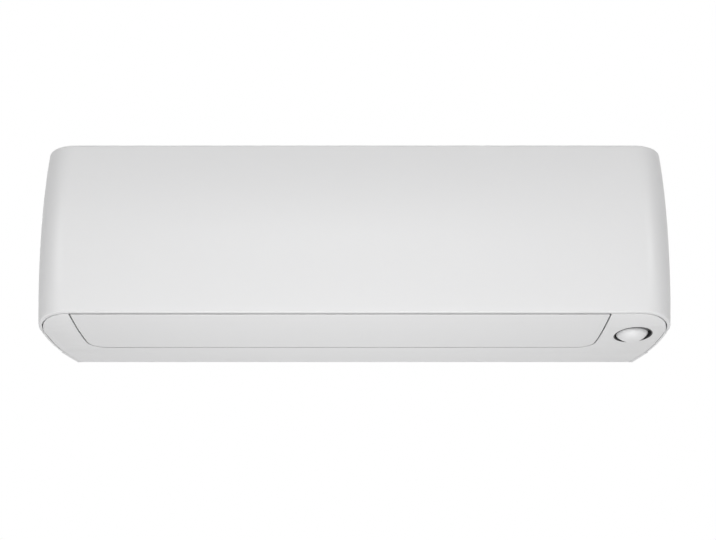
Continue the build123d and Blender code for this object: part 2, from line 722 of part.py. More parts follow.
cover_reach = motor_radius + 4.0
cover_start = 9.0
with BuildPart() as motor_cover:
    with BuildSketch(Plane.YZ.offset(motor_left + cover_start)):
        with Locations(at(fan_depth, fan_height)):
            Circle(cover_reach + wall)
            Circle(cover_reach, mode=Mode.SUBTRACT)
        with Locations(at(fan_depth - cover_reach, fan_height)):
            Rectangle(2 * cover_reach, 4 * cover_reach, mode=Mode.SUBTRACT)
    extrude(amount=motor_length + ring_length - cover_start + wall)
    with BuildSketch(Plane.YZ.offset(motor_right + ring_length)):
        with Locations(at(fan_depth, fan_height)):
            Circle(cover_reach)
            Circle(boss_radius + 1, mode=Mode.SUBTRACT)
    extrude(amount=wall)
    block((motor_left + cover_start, motor_right + ring_length + wall), (back_depth + wall, fan_depth),
          (fan_height + cover_reach, fan_height + cover_reach + wall))
    block((motor_left + cover_start, motor_right + ring_length + wall), (back_depth + wall, fan_depth),
          (fan_height - cover_reach - wall, fan_height - cover_reach))
    block((motor_left + 12, motor_right - 8), (fan_depth + motor_radius - 10,
          fan_depth + cover_reach + 5), (fan_height - 14, fan_height + 14), Mode.SUBTRACT)
save(motor_cover, "motor_cover")

# ================================================================ flap drive
motor_face = duct_right + duct_plate + touch_gap
with BuildPart() as flap_motor:
    rod(motor_face, motor_face + flap_motor_length, flap_axis_depth,
        flap_axis_height + 2, flap_motor_radius)
    block((motor_face, motor_face + 1.2), (flap_axis_depth - 17, flap_axis_depth + 17),
          (flap_axis_height - 1.5, flap_axis_height + 5.5))
    block((motor_face + 4, motor_face + flap_motor_length - 2),
          (flap_axis_depth - 9, flap_axis_depth + 9),
          (flap_axis_height + flap_motor_radius, flap_axis_height + flap_motor_radius + 6))
    rod(duct_right, motor_face + 4, flap_axis_depth, flap_axis_height,
        flap_pin_radius + 0.6, Mode.SUBTRACT)
save(flap_motor, "flap_motor")

# ================================================================ heat exchanger
# Three packs of fins over the fan, on hairpin tubes between two steel tube plates.
packs = {
    "evaporator_front": front_pack,
    "evaporator_top": top_pack,
    "evaporator_rear": rear_pack,
}


def pack_frame(ends):
    """Middle, length and unit direction of a fin pack's middle line, seen from the side."""
    (low_depth, low_height), (high_depth, high_height) = ends
    length = hypot(high_depth - low_depth, high_height - low_height)
    middle = ((low_depth + high_depth) / 2, (low_height + high_height) / 2)
    along = ((high_depth - low_depth) / length, (high_height - low_height) / length)
    return middle, length, along


def pack_outline(ends, margin=0.0):
    """The corners of a fin pack, seen from the side, grown by a margin."""
    middle, length, along = pack_frame(ends)
    half_long = length / 2 + margin
    half_thick = pack_thickness / 2 + margin
    corners = ((-1, -1), (1, -1), (1, 1), (-1, 1))
    return [
        at(middle[0] + a * half_long * along[0] - b * half_thick * along[1],
           middle[1] + a * half_long * along[1] + b * half_thick * along[0])
        for a, b in corners
    ]


def tube_pairs(ends):
    """Centres of the tubes that each bend joins, in pairs along the fin pack."""
    middle, length, along = pack_frame(ends)
    step = length / (2 * bends_per_pack)
    pairs = []
    for index in range(bends_per_pack):
        first = -length / 2 + (2 * index + 0.5) * step
        pairs.append([(middle[0] + s * along[0], middle[1] + s * along[1])
                      for s in (first, first + step)])
    return pairs


for name, ends in packs.items():
    with BuildPart() as pack:
        with BuildSketch(Plane.YZ.offset(pack_left)):
            Polygon(*pack_outline(ends), align=None)
        extrude(amount=pack_right - pack_left)
        for pair in tube_pairs(ends):
            for tube in pair:
                rod(pack_left - 1, pack_right + 1, *tube, tube_radius, Mode.SUBTRACT)
    save(pack, name)

# The plates' knuckles between two packs, from the fan's middle.
knuckles = (((120, 38), (120, 62), (97, 60), (101, 38)),
            ((47, 132), (27, 145), (-1, 142), (5, 120)))

for name, start in (("tube_plate_left", pack_left - sheet), ("tube_plate_right", pack_right)):
    with BuildPart() as end_plate:
        with BuildSketch(Plane.YZ.offset(start)):
            for ends in packs.values():
                Polygon(*pack_outline(ends, tube_plate_margin), align=None)
            for corners in knuckles:
                Polygon(*[at(fan_depth + ahead, fan_height + over) for ahead, over in corners],
                        align=None)
            for ends in packs.values():
                for pair in tube_pairs(ends):
                    for tube in pair:
                        with Locations(at(*tube)):
                            Circle(tube_radius, mode=Mode.SUBTRACT)
        extrude(amount=sheet)
    save(end_plate, name)



def bend(pair, x, direction):
    """A half turn of tube from one hole of a pair to the other, outside a tube plate."""
    (depth_a, height_a), (depth_b, height_b) = pair
    middle = at((depth_a + depth_b) / 2, (height_a + height_b) / 2)
    across = ((height_b - height_a) * direction, (depth_b - depth_a) * direction)
    with BuildPart() as turn:
        with BuildSketch(Plane.YZ.offset(x)):
            with Locations(at(depth_a, height_a)):
                Circle(tube_radius)
        revolve(axis=Axis((x, *middle), (0, *across)), revolution_arc=180)
    return turn.part


# Hairpin tubes run through all the fins and bend back at the left end.
bends = [bend(pair, pack_left - sheet, 1) for ends in packs.values()
         for pair in tube_pairs(ends)]

with BuildPart() as hairpin_tubes:
    for turn in bends:
        add(turn)
    for ends in packs.values():
        for pair in tube_pairs(ends):
            for tube in pair:
                rod(pack_left - sheet, pack_right + sheet, *tube, tube_radius)
save(hairpin_tubes, "hairpin_tubes")


# At the right end, return bends join each hairpin to the next one in its pack.
joined = [(pairs[index][1], pairs[index + 1][0])
          for pairs in map(tube_pairs, packs.values()) for index in range(bends_per_pack - 1)]
turns = [bend(pair, pack_right + sheet, -1) for pair in joined]
with BuildPart() as return_bends:
    for turn in turns:
        add(turn)
save(return_bends, "return_bends")

# ================================================================ refrigerant pipes
# Two copper pipes leave the right tube plate, drop behind the motor and run along the
# recess at the back to their flare nuts.
gas_tube = tube_pairs(rear_pack)[-1][1]
liquid_tube = tube_pairs(rear_pack)[0][0]
pipe_fall = 12.0                          # their slope behind the motor
pipe_runs = {
    "gas_pipe": (gas_tube, gas_radius, gas_depth, gas_height, gas_end_x),
    "liquid_pipe": (liquid_tube, liquid_radius, liquid_depth, liquid_height, liquid_end_x),
}
for name, (tube, radius, depth, height, end_x) in pipe_runs.items():
    start_x = pack_right + sheet
    with BuildPart() as pipe:
        with BuildLine() as run:
            FilletPolyline(place(start_x, *tube), place(pipe_drop_x, *tube),
                           place(pipe_drop_x, depth, tube[1] - pipe_fall),
                           place(pipe_drop_x, depth, height), place(end_x, depth, height),
                           radius=pipe_bend)
        with BuildSketch(Plane(origin=place(start_x, *tube), z_dir=(1, 0, 0))):
            Circle(radius)
        sweep(path=run.line)
    save(pipe, name)

nut_gap = 0.1
for name, radius, across_flats, depth, height, end_x in (
        ("gas_flare_nut", gas_radius, 24.0, gas_depth, gas_height, gas_end_x),
        ("liquid_flare_nut", liquid_radius, 17.0, liquid_depth, liquid_height, liquid_end_x)):
    with BuildPart() as nut:
        with BuildSketch(Plane.YZ.offset(end_x - 4)):
            with Locations(at(depth, height)):
                RegularPolygon(across_flats / 2, 6, major_radius=False)
        extrude(amount=across_flats)
        rod(end_x - 10, end_x + 40, depth, height, radius + nut_gap, Mode.SUBTRACT)
    save(nut, name)

# ================================================================ drain pan
# A trough under the front fins, closed at both ends, with a spigot at each end and a
# rubber plug on the one that isn't used.
pan_front = duct_foot[0] - wall - touch_gap
pan_toe = 5.2                             # the trough's flat floor, front to back
duct_slope = (duct_top[1] - duct_foot[1]) / (duct_foot[0] - duct_top[0])
pan_lift = 1.8                            # trough over the sloping wall under it
pan_floor = (duct_foot[1] + (duct_foot[0] - pan_front + pan_toe) * duct_slope
             + wall * hypot(1, duct_slope) + pan_lift)
pan_rim = pan_floor + 28.0
pan_back = duct_top[0] + 8.0
pan_crest = duct_top[1] + 14.0
pan_start = duct_left + touch_gap
pan_end = duct_right - touch_gap

with BuildPart() as drain_pan:
    with BuildSketch(Plane.YZ.offset(pan_start)):
        Polygon(at(pan_front, pan_rim), at(pan_front, pan_floor),
                at(pan_front - pan_toe, pan_floor), at(pan_back, duct_top[1] - 2),
                at(pan_back, pan_crest), at(pan_back + 13, pan_crest), align=None)
    extrude(amount=pan_end - pan_start)
    with BuildSketch(Plane.YZ.offset(pan_start + wall)):
        Polygon(at(pan_front - wall, pan_rim + 12), at(pan_front - wall, pan_floor + 3),
                at(pan_front - pan_toe + 1, pan_floor + 3), at(pan_back + 14, duct_top[1] - 11),
                at(pan_back + 14, pan_crest + 8), align=None)
    extrude(amount=pan_end - pan_start - 2 * wall, mode=Mode.SUBTRACT)
    for side, x in ((-1, pan_start), (1, pan_end)):
        rod(x, x + side * (duct_plate + spigot_length), spigot_depth, spigot_height, spigot_radius)
        rod(x - side * 2 * wall, x + side * 40, spigot_depth, spigot_height, spigot_bore,
            Mode.SUBTRACT)
save(drain_pan, "drain_pan")

with BuildPart() as drain_plug:
    plug_start = pan_start - duct_plate - spigot_length
    rod(plug_start + 12, plug_start - 3, spigot_depth, spigot_height,
        spigot_bore - running_gap)
    rod(plug_start, plug_start - 3, spigot_depth, spigot_height, spigot_radius + 1)
save(drain_plug, "drain_plug")

# ================================================================ air filters
# Two framed nets slide in behind the panel and over the fins. Each is a strip bent to
# their shape, with a lattice of windows.
filter_columns = 6
filter_bands = ((window_low + 8, fan_height - 8), (fan_height - 2, fan_height + 30))
lattice = 4.0
for name, sides in zip(("air_filter_left", "air_filter_right"), window_sides):
    start = sides[0] + 1.5
    width = sides[1] - sides[0] - 3
    pitch = (width - 2 * filter_margin) / filter_columns
    middle_x = start + width / 2
    slope_middle = ((filter_shoulder[0] + filter_brow[0]) / 2,
                    (filter_shoulder[1] + filter_brow[1]) / 2)
    slope_plane = Plane(origin=place(middle_x, *slope_middle), x_dir=(1, 0, 0),
                        z_dir=(0, -(filter_brow[1] - filter_shoulder[1]),
                               filter_shoulder[0] - filter_brow[0]))
    slope_length = hypot(filter_shoulder[0] - filter_brow[0],
                         filter_shoulder[1] - filter_brow[1])
    with BuildPart() as air_filter:
        with BuildSketch(Plane.YZ.offset(start)):
            with BuildLine():
                FilletPolyline(at(*filter_foot), at(*filter_knee), at(*filter_shoulder),
                               at(*filter_brow), at(*filter_end), radius=18)
                offset(amount=filter_wall, side=Side.RIGHT)
            make_face()
        extrude(amount=width)
        for low, high in filter_bands:
            with Locations(place(middle_x, filter_knee[0], (low + high) / 2)):
                with GridLocations(pitch, 1, filter_columns, 1):
                    Box(pitch - lattice, 30, high - low, mode=Mode.SUBTRACT)
        with BuildSketch(slope_plane.offset(10)):
            with GridLocations(pitch, slope_length / 2 - 4, filter_columns, 2):
                Rectangle(pitch - lattice, slope_length / 2 - 10)
        extrude(amount=-20, mode=Mode.SUBTRACT)
        with Locations(place(middle_x, (filter_brow[0] + filter_end[0]) / 2 - 4, filter_end[1])):
            with GridLocations(pitch, 1, filter_columns, 1):
                Box(pitch - lattice, filter_brow[0] - filter_end[0] - 26, 20,
                    mode=Mode.SUBTRACT)
        with Locations(place(middle_x, filter_foot[0] + 3, filter_foot[1] + 3)):
            Box(60, 8, 2.5)
    save(air_filter, name)

# ================================================================ control box
# A sheet-steel box beside the fins, open to the front, with the board inside and the
# terminals under the service cover.
box_left = duct_right + duct_plate         # against the chassis's end plate
box_right = body_width / 2 - 27.0
box_back = fan_depth + 59.0
box_front = box_back + 66.0
box_low = fan_height - 24.0
box_high = body_height - 37.0

with BuildPart() as control_box:
    block((box_left, box_right), (box_back, box_front), (box_low, box_high))
    block((box_left + sheet, box_right - sheet), (box_back + sheet, box_front + 1),
          (box_low + sheet, box_high - sheet), Mode.SUBTRACT)
save(control_box, "control_box")

board_depth = box_back + sheet + 6.0
relay_heights = (box_low + 54.0, box_low + 66.0)
with BuildPart() as control_board:
    block((box_left + 4, box_right - 4), (board_depth, board_depth + board),
          (box_low + 5, box_high - 5))
    for x in (box_left + 9, box_right - 9):
        for height in (box_low + 10, box_high - 10):
            peg(x, box_back + sheet, board_depth, height, 2.5)
    peg(box_left + 20, board_depth, board_depth + 32, box_high - 24, 11)
    block((box_left + 40, box_left + 66), (board_depth, board_depth + 26),
          (box_high - 40, box_high - 12))
    block((box_left + 8, box_left + 36), (board_depth, board_depth + 18),
          (box_high - 74, box_high - 44))
    for height in relay_heights:
        block((box_left + 42, box_left + 62), (board_depth, board_depth + 9),
              (height, height + 8))
save(control_board, "control_board")

with BuildPart() as terminal_block:
    block((box_left + 8, box_right - 8), (board_depth + board, box_front - 16),
          (box_low + 12, box_low + 40))
    with Locations(place((box_left + box_right) / 2, box_front - 16, box_low + 26)):
        with GridLocations(13, 1, 4, 1):
            Box(9, 18, 20, mode=Mode.SUBTRACT)
save(terminal_block, "terminal_block")

with BuildPart() as control_box_cover:
    block((box_left, box_right), (box_front, box_front + sheet), (box_low + 48, box_high))
    block((box_left, box_right), (box_front - 10, box_front + sheet),
          (box_high, box_high + sheet))
save(control_box_cover, "control_box_cover")

cover_gap = 0.5
with BuildPart() as service_cover:
    add(frame_skin)
    add(frame_hollow, mode=Mode.SUBTRACT)
    middle_x = (service_sides[0] + service_sides[1]) / 2
    with Locations(place(middle_x, (fan_depth + body_depth) / 2,
                         (service_low + service_high) / 2)):
        Box(service_sides[1] - service_sides[0] - 2 * cover_gap, body_depth - fan_depth,
            service_high - service_low - 2 * cover_gap, mode=Mode.INTERSECT)
save(service_cover, "service_cover")

# ================================================================ display board and button
# A narrow board behind the casing's lower bar carries the receiver and the switch of the
# emergency button.
display_x = (button_x - 38.0, button_x + 40.0)
display_depth = bar_depth - 8.0
post_end = front_depth(button_height - 2.5, inner_inset + wall) - touch_gap
switch_height = 1.6
button_proud = 1.2

with BuildPart() as display_board:
    block(display_x, (display_depth - board, display_depth),
          (button_height - 8, button_height + 8))
    for x in (display_x[0] + 5, display_x[1] - 5):
        peg(x, display_depth - 1, post_end, button_height, 2.5)
    peg(button_x, display_depth - 1, display_depth + switch_height, button_height, 3.0)
    peg(button_x - 20, display_depth - 1, display_depth + 3.5, button_height, 3.0)
save(display_board, "display_board")

with BuildPart() as service_button:
    button_back = display_depth + switch_height + button_travel + touch_gap
    peg(button_x, button_back, bar_depth + button_proud, button_height, button_radius)
    peg(button_x, button_back, button_back + 1, button_height, button_radius + 1.2)
save(service_button, "service_button")

# ================================================================ sensor
# The round eye at the right of the underside: a dark cup in the cover's hole, with a
# white dome that looks down into the room and a small board behind.
cup_gap = 0.3
cup_depth = 11.0
dome_radius = 21.0

with BuildPart() as sensor_housing:
    with BuildSketch(sensor_plane):
        Circle(sensor_radius - cup_gap)
    extrude(amount=-cup_depth)
    with BuildSketch(sensor_plane):
        Circle(sensor_radius - cup_gap - 1.6)
    extrude(amount=-cup_depth + 2, mode=Mode.SUBTRACT)
save(sensor_housing, "sensor_housing")

dome_flange = 24.0
dome_drop = 9.5                           # how far the dome hangs below the cover
dome_shoulder = -3.0
dome_rise = dome_drop - dome_shoulder
dome_ball = (dome_radius**2 + dome_rise**2) / (2 * dome_rise)
half_turn = asin(dome_radius / dome_ball) / 2
with BuildPart() as sensor_dome:
    with BuildSketch(Plane(origin=sensor_plane.origin, x_dir=sensor_plane.x_dir,
                           z_dir=-sensor_plane.y_dir)):
        with BuildLine():
            floor = 2 - cup_depth
            Polyline((0, dome_drop), (0, floor), (dome_flange, floor),
                     (dome_flange, floor + 4), (dome_radius, floor + 4),
                     (dome_radius, dome_shoulder))
            ThreePointArc((dome_radius, dome_shoulder),
                          (dome_ball * sin(half_turn),
                           dome_drop - dome_ball * (1 - cos(half_turn))),
                          (0, dome_drop))
        make_face()
    revolve(axis=Axis(sensor_plane.origin, sensor_plane.z_dir))
save(sensor_dome, "sensor_dome")

with BuildPart() as sensor_board:
    with BuildSketch(sensor_plane.offset(-cup_depth - touch_gap)):
        Rectangle(30, 24)
    extrude(amount=-board)
save(sensor_board, "sensor_board")

# ================================================================ wall plate
# A galvanised plate screwed to the wall. The unit hangs on its two hooks.
with BuildPart() as mounting_plate:
    block((-plate_width / 2, plate_width / 2), (0, sheet),
          (underside_below_origin - plate_height / 2,
           underside_below_origin + plate_height / 2))
    for side in (-1, 1):
        block((side * hook_x - hook_width / 2, side * hook_x + hook_width / 2),
              (0, back_depth + wall + hook_tip), (hook_low, hook_low + sheet))
        block((side * hook_x - hook_width / 2, side * hook_x + hook_width / 2),
              (back_depth + wall + touch_gap, back_depth + wall + hook_tip),
              (hook_low, hook_high))
    with Locations(Plane.XZ):
        with GridLocations(plate_holes_across, plate_holes_up, 2, 2):
            Cylinder(plate_hole_radius, 6 * sheet, mode=Mode.SUBTRACT)
save(mounting_plate, "mounting_plate")

# ================================================================ screws
# The casing screws go through the frame's lower bar into the duct's bosses.
with BuildPart() as casing_screws:
    for x in boss_places:
        peg(x, screw_seat - screw_length, screw_seat + 1, boss_height, screw_radius)
        peg(x, screw_seat, screw_seat + head_height, boss_height, head_radius)
save(casing_screws, "casing_screws")

# ================================================================ coil thermistor
with BuildPart() as coil_thermistor:
    rod(pack_right + sheet, pack_right + sheet + 10, *tube_pairs(top_pack)[0][0],
        2.5)
save(coil_thermistor, "coil_thermistor")
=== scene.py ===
import math

import bmesh
import bpy
import numpy as np
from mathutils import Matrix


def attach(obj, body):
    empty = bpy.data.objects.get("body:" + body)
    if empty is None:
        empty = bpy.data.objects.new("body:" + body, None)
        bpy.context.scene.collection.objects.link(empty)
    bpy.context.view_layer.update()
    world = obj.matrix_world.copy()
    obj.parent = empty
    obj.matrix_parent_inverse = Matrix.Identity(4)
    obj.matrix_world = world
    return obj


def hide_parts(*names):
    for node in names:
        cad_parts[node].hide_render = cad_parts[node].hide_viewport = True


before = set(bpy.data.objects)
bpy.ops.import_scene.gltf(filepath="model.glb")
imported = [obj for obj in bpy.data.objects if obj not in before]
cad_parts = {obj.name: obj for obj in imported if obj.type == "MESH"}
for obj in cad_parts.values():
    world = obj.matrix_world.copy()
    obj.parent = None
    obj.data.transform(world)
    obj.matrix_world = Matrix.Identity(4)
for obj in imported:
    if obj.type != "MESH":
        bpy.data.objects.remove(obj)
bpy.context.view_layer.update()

# ---------------------------------------------------------------- camera
# The unit hangs high on a wall and is seen from the middle of the room, from below its
# underside, with a lens of moderate length that is tilted up a little.
camera_lens = 45.0                              # mm
camera_sensor = 36.0                            # width in mm
camera_place = (0.0055, -1.59647, -0.44845)
camera_pitch = 106.14                           # degrees from looking straight down

camera_data = bpy.data.cameras.new("camera")
camera_data.lens = camera_lens
camera_data.sensor_fit = "HORIZONTAL"
camera_data.sensor_width = camera_sensor
camera = bpy.data.objects.new("camera", camera_data)
camera.location = camera_place
camera.rotation_euler = (math.radians(camera_pitch), 0.0, 0.0)
bpy.context.scene.collection.objects.link(camera)
bpy.context.scene.camera = camera
bpy.context.scene.view_settings.view_transform = "Standard"

# ---------------------------------------------------------------- floor and white backdrop
# A plain pale floor two metres under the unit. It and the room behind are seen as plain
# white, also in metal, and for every other ray the floor still takes the unit's shadow.
floor_height = -2.2
floor_half = 6.0
floor_colour = (0.86, 0.86, 0.86, 1.0)
floor_roughness = 0.9
room_light = 0.13
white = (1.0, 1.0, 1.0, 1.0)


def link_mesh(name, points, faces):
    """A mesh object of a point array and a face list, linked to the scene."""
    mesh = bpy.data.meshes.new(name)
    mesh.from_pydata([tuple(point) for point in points], [], faces)
    mesh.update()
    thing = bpy.data.objects.new(name, mesh)
    bpy.context.scene.collection.objects.link(thing)
    return thing


def node(tree, kind, inputs=None, operation=None):
    """A new shader node in a tree. An input that is given a socket is linked to it, and one
    that is given a value is set."""
    made = tree.nodes.new("ShaderNode" + kind)
    if operation:
        made.operation = operation
    for name, value in (inputs or {}).items():
        if isinstance(value, bpy.types.NodeSocket):
            tree.links.new(value, made.inputs[name])
        else:
            made.inputs[name].default_value = value
    return made


def white_rays(tree):
    """A mask that is 1 for camera, glossy and transmission rays, and 0 for the rest."""
    rays = node(tree, "LightPath").outputs
    seen = node(tree, "Math", {0: rays["Is Camera Ray"], 1: rays["Is Glossy Ray"]}, "MAXIMUM")
    either = node(tree, "Math", {0: seen.outputs[0], 1: rays["Is Transmission Ray"]},
                  "MAXIMUM")
    return either.outputs[0]


def seen_white(tree, plain, glow, end):
    """Ends a tree in glow for the rays that see white, and in the plain shader for the
    rest."""
    mix = node(tree, "MixShader",
               {"Fac": white_rays(tree), 1: plain.outputs[0], 2: glow.outputs[0]})
    tree.links.new(mix.outputs[0], tree.nodes[end].inputs["Surface"])


floor = link_mesh(
    "floor",
    [(-floor_half, -floor_half, floor_height), (floor_half, -floor_half, floor_height),
     (floor_half, floor_half, floor_height), (-floor_half, floor_half, floor_height)],
    [(0, 1, 2, 3)])
floor_paint = bpy.data.materials.new("floor_paint")
floor_paint.use_nodes = True
floor_tree = floor_paint.node_tree
floor_face = floor_tree.nodes["Principled BSDF"]
floor_face.inputs["Base Color"].default_value = floor_colour
floor_face.inputs["Roughness"].default_value = floor_roughness
seen_white(floor_tree, floor_face, node(floor_tree, "Emission"), "Material Output")
floor.data.materials.append(floor_paint)

world = bpy.data.worlds.new("room")
bpy.context.scene.world = world
world.use_nodes = True
room = world.node_tree.nodes["Background"]
room.inputs["Color"].default_value = white
room.inputs["Strength"].default_value = room_light
seen_white(world.node_tree, room, node(world.node_tree, "Background", {"Color": white}),
           "World Output")

# ---------------------------------------------------------------- studio lamps
# A soft box in front and a narrow one at each side of it light the face and the round
# corners. Three more, below, above and behind, fill the underside, the top and the back.
lamp_places = (
    # name, place, aim, width, height, watts
    ("front_box", (0.0, -3.2, 0.35), (0.0, -0.15, 0.0), 2.0, 0.8, 25.0),
    ("left_box", (-2.1, -2.2, 0.15), (-0.4, -0.15, 0.0), 0.5, 1.0, 18.0),
    ("right_box", (2.1, -2.2, 0.15), (0.4, -0.15, 0.0), 0.5, 1.0, 18.0),
    ("low_box", (0.0, -0.58, -1.08), (0.0, -0.15, -0.1), 1.3, 0.8, 6.8),
    ("high_box", (0.0, -0.7, 1.6), (0.0, -0.15, 0.1), 1.3, 0.8, 5.0),
    ("rear_box", (0.0, 2.4, 0.7), (0.0, 0.0, 0.0), 1.4, 1.2, 45.0),
)


def soft_box(name, place, aim, width, height, watts):
    """A rectangular area lamp at a place, turned to face a point."""
    lamp = bpy.data.lights.new(name, "AREA")
    lamp.shape = "RECTANGLE"
    lamp.size = width
    lamp.size_y = height
    lamp.energy = watts
    thing = bpy.data.objects.new(name, lamp)
    toward = np.subtract(aim, place)
    thing.location = place
    flat = math.hypot(toward[0], toward[1])
    thing.rotation_euler = (math.atan2(flat, -toward[2]), 0.0,
                            math.atan2(-toward[0], toward[1]))
    bpy.context.scene.collection.objects.link(thing)
    return thing


for lamp_row in lamp_places:
    lamp_box = soft_box(*lamp_row)
lamp_box.visible_glossy = False                 # the one behind isn't mirrored in the sides

# ---------------------------------------------------------------- white plastic
# The shell, the covers and the flap are one white plastic, moulded with a very fine grain
# and a satin face, a little uneven where the moulding cooled.
white_colour = (0.80, 0.80, 0.803, 1.0)


def effect(name, **inputs):
    """A new node group with the named inputs, each a Color, Float or Vector, and three
    outputs: Tint, Sheen, which is a roughness, and Height. Its given inputs and the Object
    coordinates come back with it."""
    group = bpy.data.node_groups.new(name, "ShaderNodeTree")
    for socket, kind in inputs.items():
        group.interface.new_socket(socket, in_out="INPUT", socket_type="NodeSocket" + kind)
    for socket, kind in (("Tint", "Color"), ("Sheen", "Float"), ("Height", "Float")):
        group.interface.new_socket(socket, in_out="OUTPUT", socket_type="NodeSocket" + kind)
    given = group.nodes.new("NodeGroupInput").outputs
    return group, given, node(group, "TexCoord").outputs["Object"]


def give(group, tint, sheen, height):
    """Links a group's three results to its outputs, and hands the group back."""
    result = group.nodes.new("NodeGroupOutput")
    for name, socket in (("Tint", tint), ("Sheen", sheen), ("Height", height)):
        group.links.new(socket, result.inputs[name])
    return group


def moulded_grain(middle=0.5, tint_share=0.12):
    """A node group for a moulded face. Height is a fine grain. Slow noise less its middle,
    times Drift, is added to the roughness, and a share of it scales the colour."""
    group, given, place = effect("moulded_grain", Colour="Color", Fineness="Float",
                                 Roughness="Float", Drift="Float")
    grain = node(group, "TexNoise",
                 {"Vector": place, "Scale": given["Fineness"], "Detail": 2.0})
    slow = node(group, "TexNoise", {"Vector": place, "Scale": 9.0, "Detail": 3.0})
    spread = node(group, "Math", {0: slow.outputs["Fac"], 1: middle}, "SUBTRACT")
    drift = node(group, "Math", {0: spread.outputs[0], 1: given["Drift"]}, "MULTIPLY")
    sheen = node(group, "Math", {0: given["Roughness"], 1: drift.outputs[0]}, "ADD")
    shade = node(group, "Math", {0: drift.outputs[0], 1: tint_share, 2: 1.0},
                 "MULTIPLY_ADD")
    tint = node(group, "VectorMath", {0: given["Colour"], "Scale": shade.outputs[0]}, "SCALE")
    return give(group, tint.outputs[0], sheen.outputs[0], grain.outputs["Fac"])


def faced(name, group, values, metallic=0.0, gloss=0.5, bump=0.2, depth=0.0001):
    """A material whose colour, roughness and bump come from a group with given values."""
    material = bpy.data.materials.new(name)
    material.use_nodes = True
    tree = material.node_tree
    face = node(tree, "Group")
    face.node_tree = group
    for socket, value in values.items():
        face.inputs[socket].default_value = value
    relief = node(tree, "Bump", {"Height": face.outputs["Height"], "Strength": bump,
                                 "Distance": depth})
    shader = tree.nodes["Principled BSDF"]
    shader.inputs["Metallic"].default_value = metallic
    shader.inputs["Specular IOR Level"].default_value = gloss
    tree.links.new(face.outputs["Tint"], shader.inputs["Base Color"])
    tree.links.new(face.outputs["Sheen"], shader.inputs["Roughness"])
    tree.links.new(relief.outputs["Normal"], shader.inputs["Normal"])
    return material


grain_group = moulded_grain()


def moulded(name, colour, roughness, fineness=1400.0, drift=0.08, bump=0.12, gloss=0.5):
    """A moulded material: a colour and a roughness, both with a drift, under a grain."""
    return faced(name, grain_group, {"Colour": colour, "Fineness": fineness,
                                     "Roughness": roughness, "Drift": drift},
                 gloss=gloss, bump=bump)


white_plastic = moulded("white_plastic", white_colour, roughness=0.36, gloss=0.25)

# ---------------------------------------------------------------- front panel
# One seamless moulding that wraps the front and most of both sides. Every surface of it is
# the outer form drawn in by some distance, and it hangs on a pin at each end.
half_width = 0.499
unit_height = 0.299
unit_depth = 0.292
bulge_height = 0.217                            # the front stands furthest out here
upper_radius = 0.483786                         # the front's arc above the bulge
lower_radius = 0.683325                         # and below it
under_flat = 0.085                              # the underside is flat to here
under_radius = 0.555757                         # and sweeps up to the lip on this arc
corner_radius = 0.056
underside_z = -0.160
side_seam = 0.095
top_seam = 0.240
top_round = 0.007
lip_round = 0.0034
rim_round = 0.0006
rim_width = 0.0050
rim_height = 0.004
panel_wall = 0.003
foot_span = (0.0, 0.2)                          # rises between which a foot is looked for
head_span = (0.25, 0.31)                        # and a top edge
frame_half = 0.4924                             # half width of the frame inside the shell


def perimeter(side_steps, turn_steps, front_steps):
    """Columns round the unit from its left seam to its right one, as four arrays: the
    side's sign, how far out the straight front goes, the corner's turn from 0 to a
    quarter, and the share of the way back along the side."""
    straight = half_width - corner_radius
    backs = np.concatenate([np.linspace(1, 0, side_steps, endpoint=False),
                            np.zeros(turn_steps + front_steps)])
    turns = np.concatenate([np.full(side_steps, np.pi / 2),
                            np.linspace(np.pi / 2, 0, turn_steps, endpoint=False),
                            np.zeros(front_steps)])
    outs = np.concatenate([np.full(side_steps + turn_steps, straight),
                           np.linspace(straight, 0, front_steps, endpoint=False)])
    signs = np.concatenate([np.full(outs.shape, -1.0), np.ones(outs.size + 1)])
    return [signs] + [np.concatenate([half, [0.0], half[::-1]])
                      for half in (outs, turns, backs)]


columns = perimeter(side_steps=12, turn_steps=28, front_steps=40)
along_side = columns[3] > 0
corner_end = np.argmax(~along_side)             # the first column that isn't on a side


def skin(rise, inset):
    """Where the drawn-in form stands, and its outward normal, for every column. rise is a
    height on the front's side profile of two arcs. A corner rolls a ball of the corner
    radius along that profile: its centre, plus its reach times the turned normal. A side
    runs straight back from where its corner ends. All as X, depth and height."""
    sign, out, turn, back = columns
    radius = np.where(rise > bulge_height, upper_radius, lower_radius)
    lean = np.arcsin((rise - bulge_height) / radius)
    normal = np.stack([sign * np.sin(turn), np.cos(turn) * np.cos(lean),
                       np.cos(turn) * np.sin(lean)], axis=-1)
    points = (corner_radius - inset) * normal
    centre_depth = unit_depth - radius + (radius - corner_radius) * np.cos(lean)
    points[..., 0] += sign * out
    points[..., 1] += (1 - back) * centre_depth + back * side_seam
    points[..., 2] += bulge_height + (radius - corner_radius) * np.sin(lean)
    return points, normal


def under(depth, lift):
    """Height of the underside at a depth, raised by lift: a flat, then an arc."""
    past = np.maximum(depth - under_flat, 0)
    return under_radius - np.sqrt((under_radius - lift) ** 2 - past**2)


def under_normal(depth):
    """Outward normal of the underside: down, and leaning out along its arc."""
    lean = np.arcsin(np.maximum(depth - under_flat, 0) / under_radius)
    return np.stack([0 * depth, np.sin(lean), -np.cos(lean)], axis=-1)


def meet(inset, wanted, span, halvings=44):
    """The rise at which the drawn-in skin reaches a wanted height, by halving a span. The
    side's columns take that of the corner's end."""
    low, high = (np.full(along_side.shape, end) for end in span)
    for _ in range(halvings):
        middle = (low + high) / 2
        points, normal = skin(middle, inset)
        above = points[:, 2] > wanted(points[:, 1], normal[:, 2])
        low, high = np.where(above, low, middle), np.where(above, middle, high)
    return np.where(along_side, high[corner_end], high)


